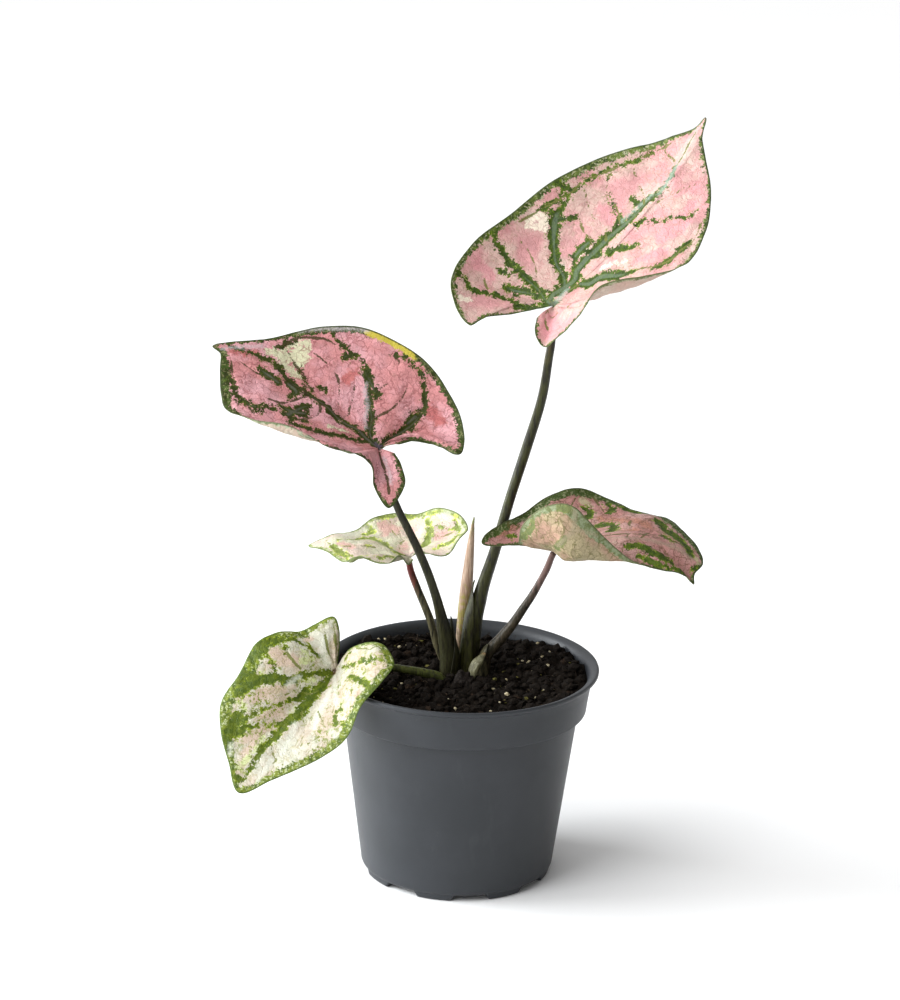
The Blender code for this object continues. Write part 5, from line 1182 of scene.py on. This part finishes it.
def drainTool():
    shape = bmesh.new()
    for index in range(pot["feet"]):
        angle = math.radians(pot["firstFoot"]) + index * fullTurn / pot["feet"]
        hole = bmesh.ops.create_cone(shape, cap_ends=True, segments=40, radius1=pot["drainRadius"] * mm,
                                     radius2=pot["drainRadius"] * mm, depth=8 * mm)
        where = Vector((math.cos(angle), math.sin(angle), 0)) * pot["drainCircle"] * mm
        where.z = (pot["floor"] + pot["floorThick"] / 2) * mm
        bmesh.ops.translate(shape, verts=hole["verts"], vec=where)
    drains = bpy.data.meshes.new("drains")
    shape.to_mesh(drains)
    shape.free()
    return addToScene("drains", drains)


def makePot():
    profile = potProfile()
    points = [(0, 0, profile[0][1])]
    for radius, height in profile[1:-1]:
        points += footedRing(radius, height)
    points.append((0, 0, profile[-1][1]))
    finish = newFinish("satinPlastic", buildPotPlastic(), pot["look"], 0.35, 0.0003, 0.25)
    faces = turnedFaces(len(profile) - 2, pot["steps"])
    made = piece("nurseryPot", points, faces, [finish], ("pot",))
    tool = drainTool()
    cut = made.modifiers.new("drain holes", "BOOLEAN")
    cut.operation = "DIFFERENCE"
    cut.solver = "EXACT"
    cut.object = tool
    bpy.context.view_layer.update()
    ready = made.evaluated_get(bpy.context.evaluated_depsgraph_get())
    mesh = bpy.data.meshes.new_from_object(ready)
    made.modifiers.clear()
    made.data = mesh
    mesh.materials.clear()
    mesh.materials.append(finish)
    bpy.data.objects.remove(tool, do_unlink=True)
    mesh.shade_smooth()
    mesh.set_sharp_from_angle(angle=math.radians(pot["crease"]))


makePot()
print("pot made")

# potting mix: heaps are degrees round the pot and how far the mix stands up at the wall there
mix = {"top": 85.0, "relief": 1.0, "steps": 260, "rings": 110, "coarse": 2.5, "fine": 1.1, "flat": 53.0,
       "heaps": [(-90, 2.0), (0, 3.5), (30, 6.0), (60, 4.0), (90, 0.0), (120, 4.0), (150, 6.5), (200, 4.0)]}


def wallRadius(height):
    # the inner wall of the pot where the mix reaches it
    return float(np.interp(height, [collarFoot + 2.0, collarFoot + 7.0, 90.0, 93.0],
                           [collarRadius - 1.4, collarRadius - 0.8, 55.4, 56.8]))


def mixHeight(x, y):
    # the waves and heaps of the solid, with clods and grit on them
    waves = math.sin(0.21 * x + 0.13 * y) + math.sin(0.33 * y - 0.17 * x + 1.3)
    swell = math.sin(0.61 * x + 0.4) * math.sin(0.57 * y + 1.1)
    angles, rises = zip(*mix["heaps"])
    heap = np.interp(math.degrees(math.atan2(y, x)), angles, rises, period=360)
    out = min(1.0, math.hypot(x, y) / 54.3)
    clod = noise.noise(Vector((x / 3.6, y / 3.6, 1.7))) * mix["coarse"]
    grit = noise.noise(Vector((x / 1.3, y / 1.3, 8.2))) * mix["fine"]
    return mix["top"] + mix["relief"] * (0.4 * waves + 0.5 * swell) + heap * out ** 3 + clod + grit


def buildBrokenColour():
    # for peat, bark, perlite, fibres and the crown
    tree, g, place = openGroup("brokenColour", {"Main": grey, "Other": grey, "Light": grey,
                                                "Light Share": 0.3, "Scale": 1.0, "Rough": 0.8})
    base = cloud(tree, place, g["Scale"], 4.0, 0.65)
    colour = blendColour(tree, rise(tree, base, 0.38, 0.62), g["Main"], g["Other"])
    bits = rise(tree, cloud(tree, place, 2.1, 3.0, 0.6), 0.56, 0.66)
    colour = cover(tree, colour, bits, g["Light Share"], g["Light"])
    rough = plus(tree, g["Rough"], times(tree, base, 0.15))
    return closeGroup(tree, colour, rough, cloud(tree, place, 3.0, 4.0, 0.7))


brokenColour = buildBrokenColour()
peatLook = {"Main": (0.0045, 0.0034, 0.0026), "Other": (0.010, 0.007, 0.005),
            "Light": (0.045, 0.034, 0.024), "Light Share": 0.25, "Scale": 0.8, "Rough": 0.85}


def makeMix():
    steps, rings = mix["steps"], mix["rings"]
    turns = [fullTurn * step / steps for step in range(steps)]
    points = [(0, 0, mixHeight(0, 0))]
    for ring in range(1, rings + 1):
        for turn in turns:
            radius = mix["flat"] * ring / rings
            x, y = radius * math.cos(turn), radius * math.sin(turn)
            height = mixHeight(x, y)
            if ring == rings:
                radius = wallRadius(height) - 0.15
                x, y = radius * math.cos(turn), radius * math.sin(turn)
            points.append((x, y, height))
    inner = pot["floor"] + pot["floorThick"] + 0.3
    lower = [(collarRadius - 1.8, collarFoot + 2.4), (pot["bodyTop"] - 1.7, collarFoot - 1.2),
             (pot["bodyFoot"] - 1.9, inner + 2.2), (pot["bodyFoot"] - 4.6, inner)]
    for radius, height in lower:
        points += [(radius * math.cos(turn), radius * math.sin(turn), height) for turn in turns]
    points.append((0, 0, inner))
    finish = newFinish("peatMix", brokenColour, peatLook, 0.06, 0.0008, 0.8)
    piece("pottingMix", points, turnedFaces(rings + len(lower), steps), [finish], ("soil",))


makeMix()

crown = {"centre": (1.0, 1.0, 81.0), "radii": (5.2, 4.8, 9.2), "rough": 2.0, "ring": 0.25,
         "look": {"Main": (0.012, 0.008, 0.006), "Other": (0.006, 0.004, 0.003),
                  "Light": (0.07, 0.05, 0.035), "Light Share": 0.5, "Scale": 0.9, "Rough": 0.75}}


def inTheWay(x, y, height, room):
    # true where a stalk or the crown stands
    if math.hypot(x - crown["centre"][0], y - crown["centre"][1]) < crown["radii"][0] + room:
        return True
    for rows in stalkRows.values():
        row = min(rows, key=lambda r: abs(r[2] - height))
        if math.hypot(x - row[0], y - row[1]) < row[3] + 0.4 + room:
            return True
    return False


def scattered(draw, reach=mix["flat"]):
    for attempt in range(60):
        radius = reach * math.sqrt(draw.random())
        turn = draw.uniform(0, fullTurn)
        x, y = radius * math.cos(turn), radius * math.sin(turn)
        if not inTheWay(x, y, 87.0, 0.5):
            return x, y
    return x, y


def ballShape(subdivisions):
    ball = bmesh.new()
    bmesh.ops.create_icosphere(ball, subdivisions=subdivisions, radius=1.0)
    points = [vertex.co.copy() for vertex in ball.verts]
    faces = [tuple(vertex.index for vertex in face.verts) for face in ball.faces]
    ball.free()
    return points, faces


roundPoints, roundFaces = ballShape(1)


def addLump(points, faces, draw, spot, sizes, rugged):
    # an irregular crumb or chip turned at random
    turn = draw.uniform(0, 6.28)
    tilt = draw.uniform(-0.5, 0.5)
    first = len(points)
    for way in roundPoints:
        grow = 1 + rugged * draw.uniform(-1, 1)
        x, y, z = way.x * sizes[0] * grow, way.y * sizes[1] * grow, way.z * sizes[2] * grow
        y, z = y * math.cos(tilt) - z * math.sin(tilt), y * math.sin(tilt) + z * math.cos(tilt)
        x, y = x * math.cos(turn) - y * math.sin(turn), x * math.sin(turn) + y * math.cos(turn)
        points.append((spot[0] + x, spot[1] + y, spot[2] + z))
    faces += [tuple(first + corner for corner in face) for face in roundFaces]


# loose bits on the mix: long and tall are factors of the size; the sites of perlite are x, y, size
heapSets = {
    "peatCrumbs": {"count": 1900, "size": (0.35, 2.6), "long": (0.8, 1.5), "tall": (0.6, 0.95),
                   "rugged": 0.24, "sink": 0.25, "seed": 11, "look": peatLook},
    "barkChips": {"count": 120, "size": (0.7, 2.8), "long": (1.3, 2.6), "tall": (0.25, 0.5),
                  "rugged": 0.16, "sink": 0.25, "seed": 12,
                  "look": {"Main": (0.026, 0.015, 0.009), "Other": (0.009, 0.006, 0.004),
                           "Light": (0.09, 0.055, 0.03), "Light Share": 0.4, "Scale": 1.2, "Rough": 0.7}},
    "perlite": {"count": 60, "size": (0.3, 0.9), "long": (0.8, 1.4), "tall": (0.6, 1.0),
                "rugged": 0.22, "sink": -0.6, "seed": 13,
                "sites": [(-37, 37.5, 0.8), (-34.2, 39.5, 0.7), (-27.8, 35.2, 0.9), (-20.3, 38.4, 0.7),
                          (16.6, 21.8, 0.9), (19.7, 5.6, 1.1), (29.8, 20.2, 1.0), (31.5, 10.2, 0.9),
                          (35.7, 27.0, 0.9), (38.1, 14.5, 1.0), (-2.2, -31.5, 0.9), (20.0, -20.3, 1.2)],
                "look": {"Main": (0.50, 0.44, 0.30), "Other": (0.30, 0.24, 0.12),
                         "Light": (0.70, 0.66, 0.55), "Light Share": 0.6, "Scale": 1.4, "Rough": 0.7}},
    "mossBits": {"count": 110, "size": (0.3, 1.1), "long": (0.9, 1.8), "tall": (0.5, 0.9),
                 "rugged": 0.3, "sink": -0.4, "seed": 14,
                 "look": {"Main": (0.11, 0.10, 0.025), "Other": (0.05, 0.045, 0.015),
                          "Light": (0.22, 0.19, 0.06), "Light Share": 0.5, "Scale": 1.5, "Rough": 0.8}},
}


def makeHeap(name, given):
    draw = random.Random(given["seed"])
    sites = given.get("sites", [])
    smallest, largest = given["size"]
    points, faces = [], []
    for index in range(given["count"]):
        if index < len(sites):
            x, y, scale = sites[index]
        else:
            x, y = scattered(draw)
            scale = smallest + (largest - smallest) * draw.random() ** 2.2  # mostly small ones
        sizes = (scale * draw.uniform(*given["long"]), scale, scale * draw.uniform(*given["tall"]))
        height = mixHeight(x, y) + sizes[2] * (1 - given["sink"] * 2)
        if math.hypot(x, y) + max(sizes) > wallRadius(height) - 0.3:
            continue
        addLump(points, faces, draw, (x, y, height), sizes, given["rugged"])
    finish = newFinish(name + "Finish", brokenColour, given["look"], 0.08, 0.0006, 0.7)
    piece(name, points, faces, [finish], flat=True)


for name, given in heapSets.items():
    makeHeap(name, given)

fibres = {"count": 70, "length": (4.0, 14.0), "radius": (0.07, 0.15), "steps": 8, "sides": 5, "seed": 15,
          "look": {"Main": (0.055, 0.036, 0.022), "Other": (0.020, 0.013, 0.009),
                   "Light": (0.22, 0.18, 0.12), "Light Share": 0.5, "Scale": 0.5, "Rough": 0.7}}


def makeFibres():
    draw = random.Random(fibres["seed"])
    sides, steps = fibres["sides"], fibres["steps"]
    points, faces = [], []
    for index in range(fibres["count"]):
        x, y = scattered(draw, 50)
        turn = draw.uniform(0, 6.28)
        radius = draw.uniform(*fibres["radius"])
        length = draw.uniform(*fibres["length"])
        arch = draw.uniform(0.0, 1.6)
        rows = []
        for step in range(steps + 1):
            t = step / steps
            if math.hypot(x, y) > 52:
                break
            height = mixHeight(x, y) + 0.35 + arch * math.sin(math.pi * t)
            rows.append((x, y, height, radius * (1 - 0.5 * t)))
            turn += draw.uniform(-0.5, 0.5)
            x += math.cos(turn) * length / steps
            y += math.sin(turn) * length / steps
        if len(rows) < 5:
            continue
        rows = smoothRows(rows, 2)
        faces += tubeFaces(len(rows), sides, len(points))
        points += tubeGrid(rows, sides)[0].tolist()
    finish = newFinish("fibreFinish", brokenColour, fibres["look"], 0.2, 0.0002, 0.3)
    piece("peatFibres", points, faces, [finish])


makeFibres()
print("potting mix made")


def makeCrown():
    # the dark knob of the tuber among the stalks; the tuber below it wears the same finish
    ways, faces = ballShape(5)
    points = []
    for way in ways:
        knob = noise.noise(way * 2.2 + Vector((3, 1, 4))) * 1.6 + noise.noise(way * 6.0) * 0.8
        ring = crown["ring"] * math.sin(way.z * 22 + 2.5 * noise.noise(way * 2.0))
        grow = crown["rough"] * knob * 0.5 + ring
        points.append([crown["centre"][k] + way[k] * (crown["radii"][k] + grow) for k in range(3)])
    finish = newFinish("crownSkin", brokenColour, crown["look"], 0.2, 0.0008, 0.8)
    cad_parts["tuber"].data.materials.clear()
    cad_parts["tuber"].data.materials.append(finish)
    piece("crownKnob", points, faces, [finish])


makeCrown()
print("crown made")

studio = {"floorReach": 9.0, "floorColour": (0.90, 0.90, 0.90), "sunPower": 1.5, "sunSoftness": 50,
          "sunTilt": 42, "sunTurn": -58, "skyLeft": 1.4, "skyRight": 0.12, "lampColour": (0.93, 0.97, 1.0),
          "lamps": {"sideLamp": {"at": (-1.2, 0.1, 0.4), "power": 30.0, "size": 0.8},
                    "frontLamp": {"at": (-0.9, -0.9, 1.1), "power": 6.0, "size": 0.7}}}


def layFloor():
    paint = bpy.data.materials.new("paleFloor")
    paint.use_nodes = True
    tree = paint.node_tree
    shader = tree.nodes["Principled BSDF"]
    shader.inputs["Roughness"].default_value = 0.9
    colour = studio["floorColour"]
    tint = blendColour(tree, cloud(tree, placeInMm(tree), 0.004, 3.0), colour,
                       tuple(0.985 * part for part in colour))
    tree.links.new(tint, shader.inputs["Base Color"])
    mesh = bpy.data.meshes.new("studioFloor")
    reach = studio["floorReach"]
    mesh.from_pydata([(-reach, -reach, 0), (reach, -reach, 0), (reach, reach, 0), (-reach, reach, 0)],
                     [], [(0, 1, 2, 3)])
    mesh.materials.append(paint)
    floor = addToScene("studioFloor", mesh)
    floor.location.z = -0.0002


def setLights():
    sun = bpy.data.lights.new("softSun", "SUN")
    sun.energy = studio["sunPower"]
    sun.angle = math.radians(studio["sunSoftness"])
    sunLamp = addToScene("softSun", sun)
    sunLamp.rotation_euler = (math.radians(studio["sunTilt"]), 0, math.radians(studio["sunTurn"]))
    for name, given in studio["lamps"].items():
        light = bpy.data.lights.new(name, "AREA")
        light.energy = given["power"]
        light.size = given["size"]
        light.color = studio["lampColour"]
        lamp = addToScene(name, light)
        lamp.location = given["at"]
        aim = Vector((0, 0, 0.15)) - Vector(given["at"])
        lamp.rotation_euler = aim.to_track_quat("-Z", "Y").to_euler()

    # a sky that is bright on the left leaves the right side of the pot darker
    world = bpy.context.scene.world or bpy.data.worlds.new("studio")
    bpy.context.scene.world = world
    world.use_nodes = True
    tree = world.node_tree
    sky = tree.nodes["Background"]
    sky.inputs["Color"].default_value = (1.0, 1.0, 1.0, 1.0)
    around = put(tree, "ShaderNodeTexCoord").outputs["Generated"]
    across = put(tree, "ShaderNodeSeparateXYZ", {0: around}).outputs[0]
    strength = put(tree, "ShaderNodeMapRange", {0: across, 1: -0.9, 2: 0.8, 3: studio["skyLeft"],
                                                4: studio["skyRight"]})
    tree.links.new(strength.outputs[0], sky.inputs["Strength"])


view = {"distance": 1.6, "elevation": 17.8, "roll": 1.44, "target": 0.167, "lens": 134.3,
        "shift": (-0.0153, 0.0045)}


def setCamera():
    camera = bpy.data.cameras.new("camera")
    camera.lens = view["lens"]
    camera.sensor_width = 36
    camera.shift_x, camera.shift_y = view["shift"]
    camera.clip_start = 0.05
    camera.clip_end = 60
    eye = addToScene("camera", camera)
    tilt = math.radians(view["elevation"])
    up, back = view["distance"] * math.sin(tilt), view["distance"] * math.cos(tilt)
    eye.location = (0, -back, view["target"] + up)
    facing = Vector((0, math.cos(tilt), -math.sin(tilt))).to_track_quat("-Z", "Y")
    eye.rotation_mode = "QUATERNION"
    eye.rotation_quaternion = facing @ Quaternion((0, 0, 1), math.radians(view["roll"]))
    bpy.context.scene.camera = eye
    bpy.context.scene.view_settings.view_transform = "Standard"


layFloor()
setLights()
setCamera()
print("stage, lights and camera set")
